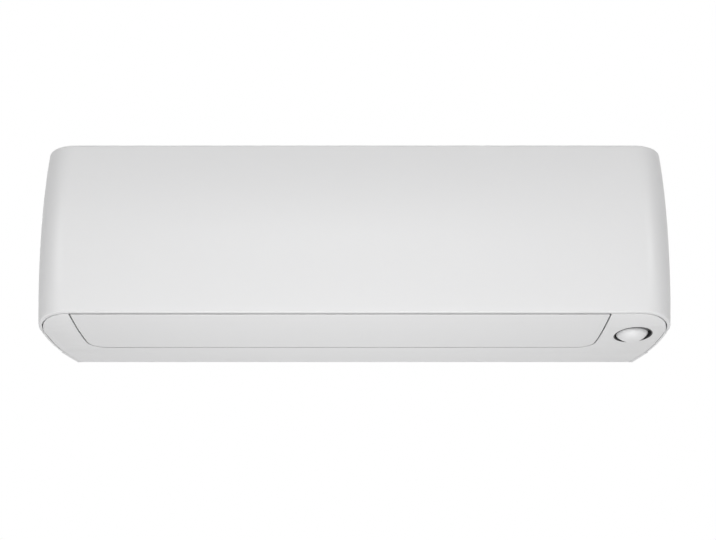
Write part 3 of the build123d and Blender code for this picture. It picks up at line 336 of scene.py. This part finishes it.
def line_on(rise, inset, side_heights):
    """A row of the drawn-in skin at a rise, where a side's columns take given heights."""
    points, normal = skin(rise, inset)
    points[:, 2] = np.where(along_side, side_heights(points[:, 1]), points[:, 2])
    return points, normal


def foot(inset, lift):
    """The row where the drawn-in skin meets the raised underside, its normals and rise."""
    rise = meet(inset, lambda depth, up: under(depth, lift), foot_span)
    points, normal = line_on(rise, inset, lambda depth: under(depth, lift))
    return points, normal, rise


def arc_rows(centre, first, last, radius, steps):
    """Rows of a round edge: a centre row plus a radius that turns from one unit vector to
    another, as sin((1 - t) a) first + sin(t a) last, over sin a."""
    angle = np.arccos(np.clip((first * last).sum(-1), -1, 1))[:, None]
    return [centre + radius * (np.sin((1 - t) * angle) * first + np.sin(t * angle) * last)
            / np.sin(angle) for t in np.linspace(0, 1, steps)]


def between(first, last, steps):
    """Rows from one row to another in equal steps, without the two themselves."""
    return [first + (last - first) * t for t in np.linspace(0, 1, steps + 2)[1:-1]]


def body_rows(inset, low, high, lift, top, steps):
    """Rows of the drawn-in skin from its foot up to its top edge. The sides' heights keep
    the same shares of their span as the corner's end."""
    rows, shares = [], []
    for t in np.linspace(0, 1, steps):
        points, _ = skin(low + (high - low) * t, inset)
        rows.append(points)
        shares.append(points[corner_end, 2])
    shares = (np.array(shares) - shares[0]) / (shares[-1] - shares[0])
    for points, share in zip(rows, shares):
        bottom = under(rows[0][:, 1], lift)
        points[:, 2] = np.where(along_side, bottom + share * (top - bottom), points[:, 2])
    return rows


def in_place(grid):
    """Points as X, depth and height above the underside, turned into X, Y and Z."""
    places = np.stack([grid[..., 0], -grid[..., 1], grid[..., 2] + underside_z], axis=-1)
    return places.reshape(-1, 3)


def quads_over(down, across, rows_close=False, columns_close=False):
    """Quads over a grid of so many rows down and columns across, as point numbers. Rows or
    columns that close are joined, the last to the first."""
    row, column = np.meshgrid(np.arange(down if rows_close else down - 1),
                              np.arange(across if columns_close else across - 1),
                              indexing="ij")
    after, beside = (row + 1) % down, (column + 1) % across
    return np.stack([row * across + column, row * across + beside,
                     after * across + beside, after * across + column],
                    axis=-1).reshape(-1, 4)


def closed_shell(name, rows):
    """A closed shell from rows that run round it, the last row joined to the first, with
    one face over each end."""
    grid = np.stack(rows)
    count, across = grid.shape[:2]
    quads = quads_over(count, across, rows_close=True)[:, ::-1].tolist()
    ends = [list(range(0, count * across, across))[::-1],
            list(range(across - 1, count * across, across))]
    return link_mesh(name, in_place(grid), quads + ends)


def smooth(thing, crease=32.0):
    """Shade a piece smooth, with edges kept crisp where its faces turn more than a crease."""
    thing.data.shade_smooth()
    thing.data.set_sharp_from_angle(angle=math.radians(crease))


lip_centre, lip_normal, lip_rise = foot(lip_round, lip_round)
top_rise = meet(0.0, lambda depth, up: unit_height - top_round * (1 - up), head_span)
outer = body_rows(0.0, lip_rise, top_rise, lip_round, unit_height - top_round, steps=40)
head, head_normal = line_on(top_rise, 0.0, lambda depth: unit_height - top_round)
top_edge = arc_rows(head - top_round * head_normal, head_normal,
                    np.tile([0.0, 0.0, 1.0], (len(head), 1)), top_round, steps=9)[1:]
# Along the sides the round top edge goes no further in than the frame.
turned_fully = np.isclose(columns[2], np.pi / 2)
for edge_row in top_edge:
    edge_row[:, 0] = np.where(turned_fully, np.sign(edge_row[:, 0])
                              * np.maximum(abs(edge_row[:, 0]), frame_half), edge_row[:, 0])
# From there the top runs back to its seam, and ends in a face as high as the wall is thick.
top_inner = top_edge[-1].copy()
top_inner[:, 0] = np.clip(top_inner[:, 0], -frame_half, frame_half)
top_inner[:, 1] = np.minimum(top_inner[:, 1], top_seam)
top_under = top_inner - (0, 0, panel_wall)
# The inside follows the outside one wall further in, down to the rim above the lip.
ceiling_rise = meet(panel_wall, lambda depth, up: 0 * depth + unit_height - panel_wall,
                    head_span)
ledge_rise = foot(panel_wall, rim_height)[2]
inner = body_rows(panel_wall, ledge_rise, ceiling_rise, rim_height,
                  unit_height - panel_wall, steps=24)
rim_centre, rim_normal, _ = foot(rim_width - rim_round, rim_round)
rim_top = foot(rim_width, rim_height)[0]
bottom_edge = arc_rows(lip_centre, under_normal(lip_centre[:, 1]), lip_normal, lip_round,
                       steps=7)
rim_edge = arc_rows(rim_centre, -rim_normal, under_normal(rim_centre[:, 1]), rim_round,
                    steps=4)
rim_face = between(rim_edge[-1], bottom_edge[0], steps=2)
shell_rows = (outer + top_edge + [top_inner, top_under] + inner[::-1] + [rim_top]
              + rim_edge + rim_face + bottom_edge[:-1])
shell = closed_shell("front_shell", shell_rows)
smooth(shell)
shell.data.materials.append(white_plastic)
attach(shell, "front_panel")
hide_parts("front_panel")

# ---------------------------------------------------------------- panel pins
# The panel swings up on two short pins, moulded on the inside of its ends near the top.
# They are plain round stubs of the shell's own plastic.
pin_reach = 0.4859
pin_end = 0.4975
pin_radius = 0.0035
pin_bevel = 0.0005
pin_centre = (0.0, 0.190, 0.287)


def merged(thing, reach=1e-7):
    """Closes seams and poles by merging points that coincide, and turns the faces out."""
    work = bmesh.new()
    work.from_mesh(thing.data)
    bmesh.ops.remove_doubles(work, verts=work.verts, dist=reach)
    bmesh.ops.dissolve_degenerate(work, edges=work.edges, dist=reach)
    bmesh.ops.recalc_face_normals(work, faces=work.faces)
    work.to_mesh(thing.data)
    work.free()


def turned(name, profile, centre, axis, steps=48, mostly=0.9):
    """A turned piece. Each row of its profile, a radius and a distance along the axis, is
    carried round it: centre, plus distance times the axis, plus radius times the cosine of
    the turn along one side and its sine along the other. All in X, depth and height. An
    axis that is mostly along X takes its side from the depth."""
    axis = np.array(axis) / np.linalg.norm(axis)
    side = np.cross(axis, (0.0, axis[2], -axis[1]) if abs(axis[0]) < mostly
                    else (0.0, 1.0, 0.0))
    side = side / np.linalg.norm(side)
    other = np.cross(axis, side)
    turn = np.linspace(0, 2 * np.pi, steps, endpoint=False)
    ring = np.cos(turn)[:, None] * side + np.sin(turn)[:, None] * other
    radius, along = np.array(profile).T
    grid = np.array(centre) + along[:, None, None] * axis + radius[:, None, None] * ring
    quads = quads_over(len(radius), steps, columns_close=True).tolist()
    thing = link_mesh(name, in_place(grid), quads)
    merged(thing)
    smooth(thing)
    return thing


for pin_name, pin_side in (("panel_pin_left", -1.0), ("panel_pin_right", 1.0)):
    panel_pin = turned(pin_name, [(0, pin_reach), (pin_radius - pin_bevel, pin_reach),
                                  (pin_radius, pin_reach + pin_bevel), (pin_radius, pin_end),
                                  (0, pin_end)], pin_centre, (pin_side, 0.0, 0.0))
    panel_pin.data.materials.append(white_plastic)
    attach(panel_pin, "front_panel")

# ---------------------------------------------------------------- casing and covers
# The fixed casing with its inlet grille, the bottom cover and the small service cover are
# mouldings of the same white plastic. The tool leaves the covers' edges a little round.
edge_round = 0.0014


def dress(material, *names):
    """Gives CAD pieces a material in every slot."""
    for name in names:
        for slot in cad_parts[name].material_slots:
            slot.material = material


def round_edges(name, width, steps=3, crease=35.0, reach=1e-6):
    """Rounds the sharp edges of a CAD piece, whose loose triangles are joined first."""
    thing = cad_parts[name]
    joined = thing.modifiers.new("joined", "WELD")
    joined.merge_threshold = reach
    edges = thing.modifiers.new("edges", "BEVEL")
    edges.width = width
    edges.segments = steps
    edges.limit_method = "ANGLE"
    edges.angle_limit = math.radians(crease)
    edges.harden_normals = True


dress(white_plastic, "front_casing", "bottom_cover", "service_cover")
round_edges("bottom_cover", edge_round)
round_edges("service_cover", edge_round)

# ---------------------------------------------------------------- flap
# A long blade of white plastic that closes the outlet, flush with the underside. It is thin
# at its rim, where its lower edge is a little rounded, thicker in its middle, and turns on
# two pins that stand on small ears inside its ends.
flap_left, flap_right = -0.4369, 0.3929
flap_back, flap_front = 0.1305, 0.257
flap_corner = 0.027                             # the two rear corners, seen from above
flap_rim = 0.0026
flap_belly = 0.0065
flap_round = 0.0012                             # lower edge
flap_crest = 0.0004                             # upper edge
flap_spine = 0.063                              # how far in the two faces close
flap_axis = (0.165, 0.021)                      # depth and height of the pins
face_rings = 14                                 # from the rim to the middle of a face
flap_pin = 0.003
flap_ear = 0.003
flap_pin_reach = 0.0069
ear_radius = 2 * flap_pin
ear_back, ear_front = 0.005, 0.022              # how far an ear's foot goes from the pin
ear_back_rise, ear_front_rise = 0.003, 0.006    # and how high the foot stands there


def blade_ring(inset, turn_steps=8, side_steps=12, long_steps=10):
    """Points once round the blade drawn in by an inset, as X and depth, and their outward
    directions. Four quarter circles, whose radius is the corner's less the inset, are
    joined by straight runs."""
    middle_x, middle_d = (flap_left + flap_right) / 2, (flap_back + flap_front) / 2
    spans = ((-1, 1, flap_round, long_steps), (1, 1, flap_round, side_steps),
             (1, -1, flap_corner, long_steps), (-1, -1, flap_corner, side_steps))
    points, ways = [], []
    for number, (to_x, to_d, corner, steps) in enumerate(spans):
        hold, radius = max(corner, inset), max(corner - inset, 0)
        centre = (middle_x + to_x * ((flap_right - flap_left) / 2 - hold),
                  middle_d + to_d * ((flap_front - flap_back) / 2 - hold))
        angle = np.pi - number * np.pi / 2 - np.linspace(0, np.pi / 2, turn_steps)
        way = np.stack([np.cos(angle), np.sin(angle)], axis=-1)
        points.append(centre + radius * way)
        ways.append(way)
    for number in (3, 2, 1, 0):
        first, last = points[number][-1], points[(number + 1) % 4][0]
        share = np.linspace(0, 1, spans[number][3] + 2)[1:-1, None]
        points.insert(number + 1, first + (last - first) * share)
        ways.insert(number + 1, np.repeat(ways[number][-1:], len(share), axis=0))
    return np.concatenate(points), np.concatenate(ways)


def blade_top(depth):
    """Height of the blade's upper face: the underside plus a thickness that swells from the
    rim to the belly as a parabola of the depth."""
    share = (2 * depth - flap_back - flap_front) / (flap_front - flap_back)
    return under(depth, 0.0) + flap_rim + (flap_belly - flap_rim) * (1 - share**2)


def raised(plan, height):
    """A row of X, depth and height from a row of X and depth."""
    return np.concatenate([plan, height[:, None]], axis=1)


def face_rows(height_at, first, last):
    """Rings over a face, from one inset to another, raised to a height for each depth."""
    plans = [blade_ring(inset)[0] for inset in np.linspace(first, last, face_rings)]
    return [raised(plan, height_at(plan[:, 1])) for plan in plans]


lower_face = face_rows(lambda depth: under(depth, 0.0), flap_spine, flap_round)
upper_face = face_rows(blade_top, flap_crest, flap_spine)
low_plan, low_way = blade_ring(flap_round)
low_edge = arc_rows(raised(low_plan, under(low_plan[:, 1], flap_round)),
                    under_normal(low_plan[:, 1]), raised(low_way, 0 * low_way[:, 0]),
                    flap_round, steps=9)
high_plan, high_way = blade_ring(flap_crest)
high_edge = arc_rows(raised(high_plan, blade_top(high_plan[:, 1]) - flap_crest),
                     raised(high_way, 0 * high_way[:, 0]),
                     np.tile([0.0, 0.0, 1.0], (len(high_way), 1)), flap_crest, steps=4)


def closed_blade(name, rows):
    """A closed piece from rings, with one face over the first and one over the last."""
    grid = np.stack(rows)
    count, across = grid.shape[:2]
    ends = [list(range(across))[::-1], list(range((count - 1) * across, count * across))]
    thing = link_mesh(name, in_place(grid),
                      quads_over(count, across, columns_close=True).tolist() + ends)
    merged(thing)
    smooth(thing)
    return thing


def flap_part(thing):
    """Gives a piece of the flap its plastic and makes it swing with the flap."""
    thing.data.materials.append(white_plastic)
    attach(thing, "flap")


blade = closed_blade("flap_blade", lower_face + low_edge[1:] + high_edge + upper_face[1:])
flap_part(blade)
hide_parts("flap")

ear_turn = np.linspace(np.pi, 0, num=17)
ear_foot = under(np.array(flap_axis[0]), 0.0)
ear_outline = np.array(
    [(flap_axis[0] + ear_radius * np.cos(a), flap_axis[1] + ear_radius * np.sin(a))
     for a in ear_turn] + [(flap_axis[0] + ear_front, ear_foot + ear_front_rise),
                           (flap_axis[0] - ear_back, ear_foot + ear_back_rise)])
flap_pin_length = flap_pin_reach + flap_ear / 2
pin_rows = [(0, 0), (flap_pin, 0), (flap_pin, flap_pin_length - pin_bevel),
            (flap_pin - pin_bevel, flap_pin_length), (0, flap_pin_length)]
for end_name, end_x, end_side in (("left", flap_left, -1.0), ("right", flap_right, 1.0)):
    ear_rows = [np.insert(ear_outline, 0, x, axis=1)
                for x in (end_x, end_x - end_side * flap_ear)]
    flap_part(closed_blade("flap_ear_" + end_name, ear_rows))
    flap_part(turned("flap_pin_" + end_name, pin_rows,
                     (end_x - end_side * flap_ear / 2, *flap_axis), (end_side, 0.0, 0.0)))

# ---------------------------------------------------------------- room sensor
# A dark cup in the bottom cover holds a milk white dome that looks down into the room, with
# a small board behind it. Both are turned forms on the slope of the underside.
sensor_x = 0.446
sensor_depth = 0.190
sensor_floor = -0.009                           # along the axis, from the cover's face
cup_radius = 0.0301
cup_inner = 0.0285
cup_back = -0.011
cup_lip = 0.0006
dome_back = 0.0036                              # the dome sits off centre, to the rear
dome_radius = 0.0246
dome_drop = 0.0087
dome_shoulder = -0.003
flange_radius = 0.0248
flange_top = -0.0065
flange_bevel = (0.0003, 0.0004)                 # across and along the axis
dome_gap = 0.0001                               # between the dome and the cup's floor
dome_steps = 96                                 # once round

sensor_centre = np.array([sensor_x, sensor_depth, under(np.array(sensor_depth), 0.0)])
sensor_axis = under_normal(np.array([sensor_depth]))[0]
dome_centre = sensor_centre - dome_back * np.array([0.0, -sensor_axis[2], sensor_axis[1]])

lip_turn = np.linspace(0, np.pi, num=7)
cup_middle = (cup_radius + cup_inner) / 2
lip_arc = [(cup_middle + (cup_radius - cup_middle) * np.cos(a), cup_lip * (np.sin(a) - 1))
           for a in lip_turn]
cup = turned("sensor_cup", [(0, cup_back), (cup_radius, cup_back)] + lip_arc
             + [(cup_inner, sensor_floor), (0, sensor_floor)], sensor_centre, sensor_axis,
             dome_steps)

dome_rise = dome_drop - dome_shoulder
dome_ball = (dome_radius**2 + dome_rise**2) / (2 * dome_rise)
dome_half = np.arcsin(dome_radius / dome_ball)
dome_turn = np.linspace(dome_half, 0, num=24)
dome_foot = sensor_floor + dome_gap
dome = turned("sensor_eye",
              [(0, dome_foot), (flange_radius, dome_foot),
               (flange_radius, flange_top - flange_bevel[1]),
               (flange_radius - flange_bevel[0], flange_top), (dome_radius, flange_top)]
              + [(dome_ball * np.sin(a), dome_drop - dome_ball * (1 - np.cos(a)))
                 for a in dome_turn], dome_centre, sensor_axis, dome_steps)
sensor_dark = moulded("sensor_dark", (0.035, 0.035, 0.038, 1.0), roughness=0.38,
                      fineness=1800.0, drift=0.10, bump=0.10)
sensor_white = moulded("sensor_white", (0.78, 0.78, 0.785, 1.0), roughness=0.30,
                       fineness=700.0, drift=0.05, bump=0.04)
for piece, solid, finish, slot_name in (
        (cup, "sensor_housing", sensor_dark, "sensor_dark"),
        (dome, "sensor_dome", sensor_white, "sensor_white")):
    piece.data.materials.append(finish)
    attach(piece, "unit")
    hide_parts(solid)

# ---------------------------------------------------------------- inner mouldings
# The rear chassis with the fan's scroll, the outlet duct, the drain pan and the motor's
# cover are a slightly greyer plastic with a coarser grain, because nobody sees them shut.
inner_plastic = moulded("inner_plastic", (0.62, 0.63, 0.64, 1.0), roughness=0.5,
                        fineness=900.0, drift=0.12, bump=0.25)
dress(inner_plastic, "rear_chassis", "outlet_duct", "drain_pan", "motor_cover")

# ---------------------------------------------------------------- louvres
# Ten swinging vanes stand in the outlet behind the flap, in two sets, each drawn by a bar
# and the crank of a small motor. They are mouldings of one mid grey plastic.
vane_plastic = moulded("vane_plastic", (0.34, 0.35, 0.36, 1.0), roughness=0.48,
                       fineness=1100.0, drift=0.10, bump=0.2)
vane_count = 10
dress(vane_plastic, "link_bar_left", "link_bar_right", "vane_crank_left",
      "vane_crank_right", *["vane_%d" % (number + 1) for number in range(vane_count)])

# ---------------------------------------------------------------- cross-flow fan
# The long drum of thin curved blades is moulded in glass filled plastic, almost black, with
# the faint streaks that the fibres leave and a little dust in patches.


def mixed(tree, share, first, second):
    """The colour at a share of the way from one colour to another."""
    mix = node(tree, "Mix")
    mix.data_type = "RGBA"
    for name, socket in (("Factor", share), ("A", first), ("B", second)):
        tree.links.new(socket, mix.inputs[name])
    return mix.outputs["Result"]


def fibre_streaks():
    """A node group for filled plastic. Streaks are noise drawn out along the fan's axis,
    in the roughness and the height. Dust is a second noise of which only the peaks show."""
    group, given, place = effect("fibre_streaks", Colour="Color", Dusty="Color")
    drawn = node(group, "Mapping", {"Vector": place, "Scale": (40.0, 900.0, 900.0)})
    streak = node(group, "TexNoise", {"Vector": drawn.outputs["Vector"], "Scale": 1.0})
    dust = node(group, "TexNoise", {"Vector": place, "Scale": 60.0, "Detail": 4.0})
    peaks = node(group, "MapRange", {"Value": dust.outputs["Fac"], "From Min": 0.55,
                                     "From Max": 0.85, "To Max": 0.45})
    sheen = node(group, "MapRange",
                 {"Value": streak.outputs["Fac"], "To Min": 0.42, "To Max": 0.62})
    tint = mixed(group, peaks.outputs["Result"], given["Colour"], given["Dusty"])
    return give(group, tint, sheen.outputs["Result"], streak.outputs["Fac"])


fan_plastic = faced("fan_plastic", fibre_streaks(), {
    "Colour": (0.020, 0.022, 0.024, 1.0), "Dusty": (0.16, 0.155, 0.145, 1.0)})
dress(fan_plastic, "cross_flow_fan")

# ---------------------------------------------------------------- shafts and screws
# The fan turns on a short steel stub at its left and on the motor's steel shaft at its
# right. Both are turned bar, with fine rings left by the tool, as the casing's screws have.


def worn_metal():
    """A node group for bare metal. Marks are noise at a given scale for each axis. They move
    the colour between two tones and the roughness with it."""
    group, given, place = effect("worn_metal", Bright="Color", Dull="Color",
                                 Stretch="Vector", Smooth="Float", Rough="Float")
    stretched = node(group, "VectorMath", {0: place, 1: given["Stretch"]}, "MULTIPLY")
    marks = node(group, "TexNoise", {"Vector": stretched.outputs["Vector"], "Scale": 1.0,
                                     "Detail": 4.0, "Roughness": 0.6})
    spread = node(group, "MapRange",
                  {"Value": marks.outputs["Fac"], "From Min": 0.3, "From Max": 0.7})
    sheen = node(group, "MapRange", {"Value": spread.outputs["Result"],
                                     "To Min": given["Smooth"], "To Max": given["Rough"]})
    tint = mixed(group, spread.outputs["Result"], given["Bright"], given["Dull"])
    return give(group, tint, sheen.outputs["Result"], marks.outputs["Fac"])


metal_group = worn_metal()
steel = faced("turned_steel", metal_group, {
    "Bright": (0.60, 0.60, 0.61, 1.0), "Dull": (0.42, 0.42, 0.43, 1.0),
    "Stretch": (2200.0, 60.0, 60.0), "Smooth": 0.22, "Rough": 0.40}, metallic=1.0)
dress(steel, "fan_stub_shaft", "motor_shaft", "casing_screws")

# ---------------------------------------------------------------- rubber
# The fan's bearing seat, the motor's rings and the drain plug are black rubber, matt and a
# little bloomed where it has aged.
rubber = moulded("black_rubber", (0.028, 0.028, 0.028, 1.0), roughness=0.78,
                 fineness=600.0, drift=0.30, bump=0.4)
dress(rubber, "fan_bearing", "motor_rings", "drain_plug")

# ---------------------------------------------------------------- motors
# The fan's motor is cast round in grey resin, and the flap's and the vanes' small motors
# have pressed cans. All four have a matt painted look with soft marks.
motor_shell = faced("motor_shell", metal_group, {
    "Bright": (0.46, 0.47, 0.48, 1.0), "Dull": (0.38, 0.39, 0.40, 1.0),
    "Stretch": (70.0, 70.0, 70.0), "Smooth": 0.42, "Rough": 0.60}, metallic=0.1)
dress(motor_shell, "fan_motor", "flap_motor", "vane_motor_left", "vane_motor_right")

# ---------------------------------------------------------------- coil
# Three packs of thin aluminium fins stand between two galvanised end plates. Copper tubes
# run through them, joined in pairs by soldered bends, and end in two pipes with brass nuts.
fin_pitch = 0.0015
wave_rate = 20.0                                # radians that a wave texture turns in a unit


def fin_lines_and_gap_shade():
    """A node group for a pack of fins. Height is a sine along the unit's length with one wave
    to each fin. Between the fins the colour goes dark, a painted shade in the gaps. Slow
    noise sets the roughness."""
    group, given, place = effect("fin_lines_and_gap_shade", Edge="Color", Gap="Color", Lines="Float")
    wave = node(group, "TexWave", {"Vector": place, "Scale": given["Lines"]})
    dull = node(group, "TexNoise", {"Vector": place, "Scale": 25.0})
    sheen = node(group, "MapRange",
                 {"Value": dull.outputs["Fac"], "To Min": 0.30, "To Max": 0.52})
    # The dark colour between the fins is painted shade.
    tint = mixed(group, wave.outputs["Fac"], given["Gap"], given["Edge"])
    return give(group, tint, sheen.outputs["Result"], wave.outputs["Fac"])


# The near-black second colour is painted shade between the fins.
fins = faced("aluminium_fins", fin_lines_and_gap_shade(), {
    "Edge": (0.72, 0.75, 0.78, 1.0), "Gap": (0.10, 0.11, 0.12, 1.0),
    "Lines": 2 * math.pi / (wave_rate * fin_pitch)}, metallic=0.8, bump=0.6, depth=0.0006)
dress(fins, "evaporator_front", "evaporator_rear", "evaporator_top")
copper = faced("drawn_copper", metal_group, {
    "Bright": (0.72, 0.40, 0.26, 1.0), "Dull": (0.42, 0.22, 0.15, 1.0),
    "Stretch": (45.0, 45.0, 45.0), "Smooth": 0.24, "Rough": 0.46}, metallic=1.0, bump=0.1)
dress(copper, "hairpin_tubes", "return_bends", "gas_pipe", "liquid_pipe", "coil_thermistor")
brass = faced("machined_brass", metal_group, {
    "Bright": (0.76, 0.60, 0.30, 1.0), "Dull": (0.58, 0.44, 0.22, 1.0),
    "Stretch": (900.0, 30.0, 30.0), "Smooth": 0.20, "Rough": 0.36}, metallic=1.0)
dress(brass, "gas_flare_nut", "liquid_flare_nut")

# ---------------------------------------------------------------- galvanised sheet
# The coil's end plates, the control box and the wall plate are pressed from zinc coated
# sheet, whose crystals show as pale and dark patches with straight borders.


def zinc_spangle():
    """A node group for zinc coated sheet. Each cell of a Voronoi pattern takes its own share
    between two colours and two roughnesses, and its own height."""
    group, given, place = effect("zinc_spangle", Pale="Color", Dark="Color", Cells="Float")
    cells = node(group, "TexVoronoi", {"Vector": place, "Scale": given["Cells"]})
    share = node(group, "SeparateColor", {"Color": cells.outputs["Color"]}).outputs
    sheen = node(group, "MapRange", {"Value": share["Green"], "To Min": 0.28, "To Max": 0.50})
    tint = mixed(group, share["Red"], given["Pale"], given["Dark"])
    return give(group, tint, sheen.outputs["Result"], share["Blue"])


galvanised = faced("galvanised_sheet", zinc_spangle(), {
    "Pale": (0.68, 0.70, 0.71, 1.0), "Dark": (0.50, 0.52, 0.54, 1.0),
    "Cells": 110.0}, metallic=0.85, bump=0.06)
dress(galvanised, "tube_plate_left", "tube_plate_right", "control_box",
      "control_box_cover", "mounting_plate")

# ---------------------------------------------------------------- filters
# Two pull-out filters lie over the coil. Each is a grid of moulded ribs over a net, and the
# fine weave covers both.
net_pitch = 0.0016


def net_weave_and_hole_shade():
    """A node group for a fine net. Threads are two sines, one along the unit's length and one
    up its height, and the higher of the two is kept. Their holes go dark, a painted shade."""
    group, given, place = effect("net_weave_and_hole_shade", Thread="Color", Hole="Color", Lines="Float")
    waves = {}
    for way, turn in enumerate((0.0, math.pi / 2)):
        across = node(group, "Mapping", {"Vector": place, "Rotation": (0.0, turn, 0.0)})
        waves[way] = node(group, "TexWave", {"Vector": across.outputs["Vector"],
                                             "Scale": given["Lines"]}).outputs["Fac"]
    threads = node(group, "Math", waves, "MAXIMUM")
    sheen = node(group, "MapRange",
                 {"Value": threads.outputs[0], "To Min": 0.70, "To Max": 0.45})
    # The holes' dark colour is painted shade.
    tint = mixed(group, threads.outputs[0], given["Hole"], given["Thread"])
    return give(group, tint, sheen.outputs["Result"], threads.outputs[0])


# The near-black second colour is painted shade in the net's holes.
filter_net = faced("filter_net", net_weave_and_hole_shade(), {
    "Thread": (0.30, 0.31, 0.33, 1.0), "Hole": (0.06, 0.065, 0.07, 1.0),
    "Lines": 2 * math.pi / (wave_rate * net_pitch)}, bump=0.5, depth=0.0004)
dress(filter_net, "air_filter_left", "air_filter_right")

# ---------------------------------------------------------------- electrics
# The control board, the display board and the sensor's board are lacquered green, with
# paler tracks under the lacquer. The terminal block and the service button are moulded.


def lacquered_tracks():
    """A node group for a circuit board. Tracks are the mortar of a brick pattern, under a
    lacquer whose roughness drifts with noise."""
    group, given, place = effect("lacquered_tracks", Board="Color", Track="Color",
                                 Lines="Float")
    upright = node(group, "Mapping", {"Vector": place, "Rotation": (math.pi / 2, 0.0, 0.0)})
    tracks = node(group, "TexBrick", {
        "Vector": upright.outputs["Vector"], "Color1": given["Board"],
        "Color2": given["Board"], "Mortar": given["Track"], "Scale": given["Lines"],
        "Mortar Size": 0.05, "Row Height": 0.4})
    lacquer = node(group, "TexNoise", {"Vector": place, "Scale": 120.0})
    sheen = node(group, "MapRange",
                 {"Value": lacquer.outputs["Fac"], "To Min": 0.22, "To Max": 0.38})
    return give(group, tracks.outputs["Color"], sheen.outputs["Result"],
                tracks.outputs["Fac"])


board_green = faced("circuit_board", lacquered_tracks(), {
    "Board": (0.030, 0.16, 0.075, 1.0), "Track": (0.07, 0.30, 0.15, 1.0), "Lines": 110.0})
dress(board_green, "control_board", "display_board", "sensor_board")
terminal_plastic = moulded("terminal_plastic", (0.66, 0.63, 0.56, 1.0), roughness=0.46,
                           fineness=1000.0)
dress(terminal_plastic, "terminal_block")
button_plastic = moulded("button_plastic", (0.62, 0.62, 0.625, 1.0), roughness=0.34)
dress(button_plastic, "service_button")
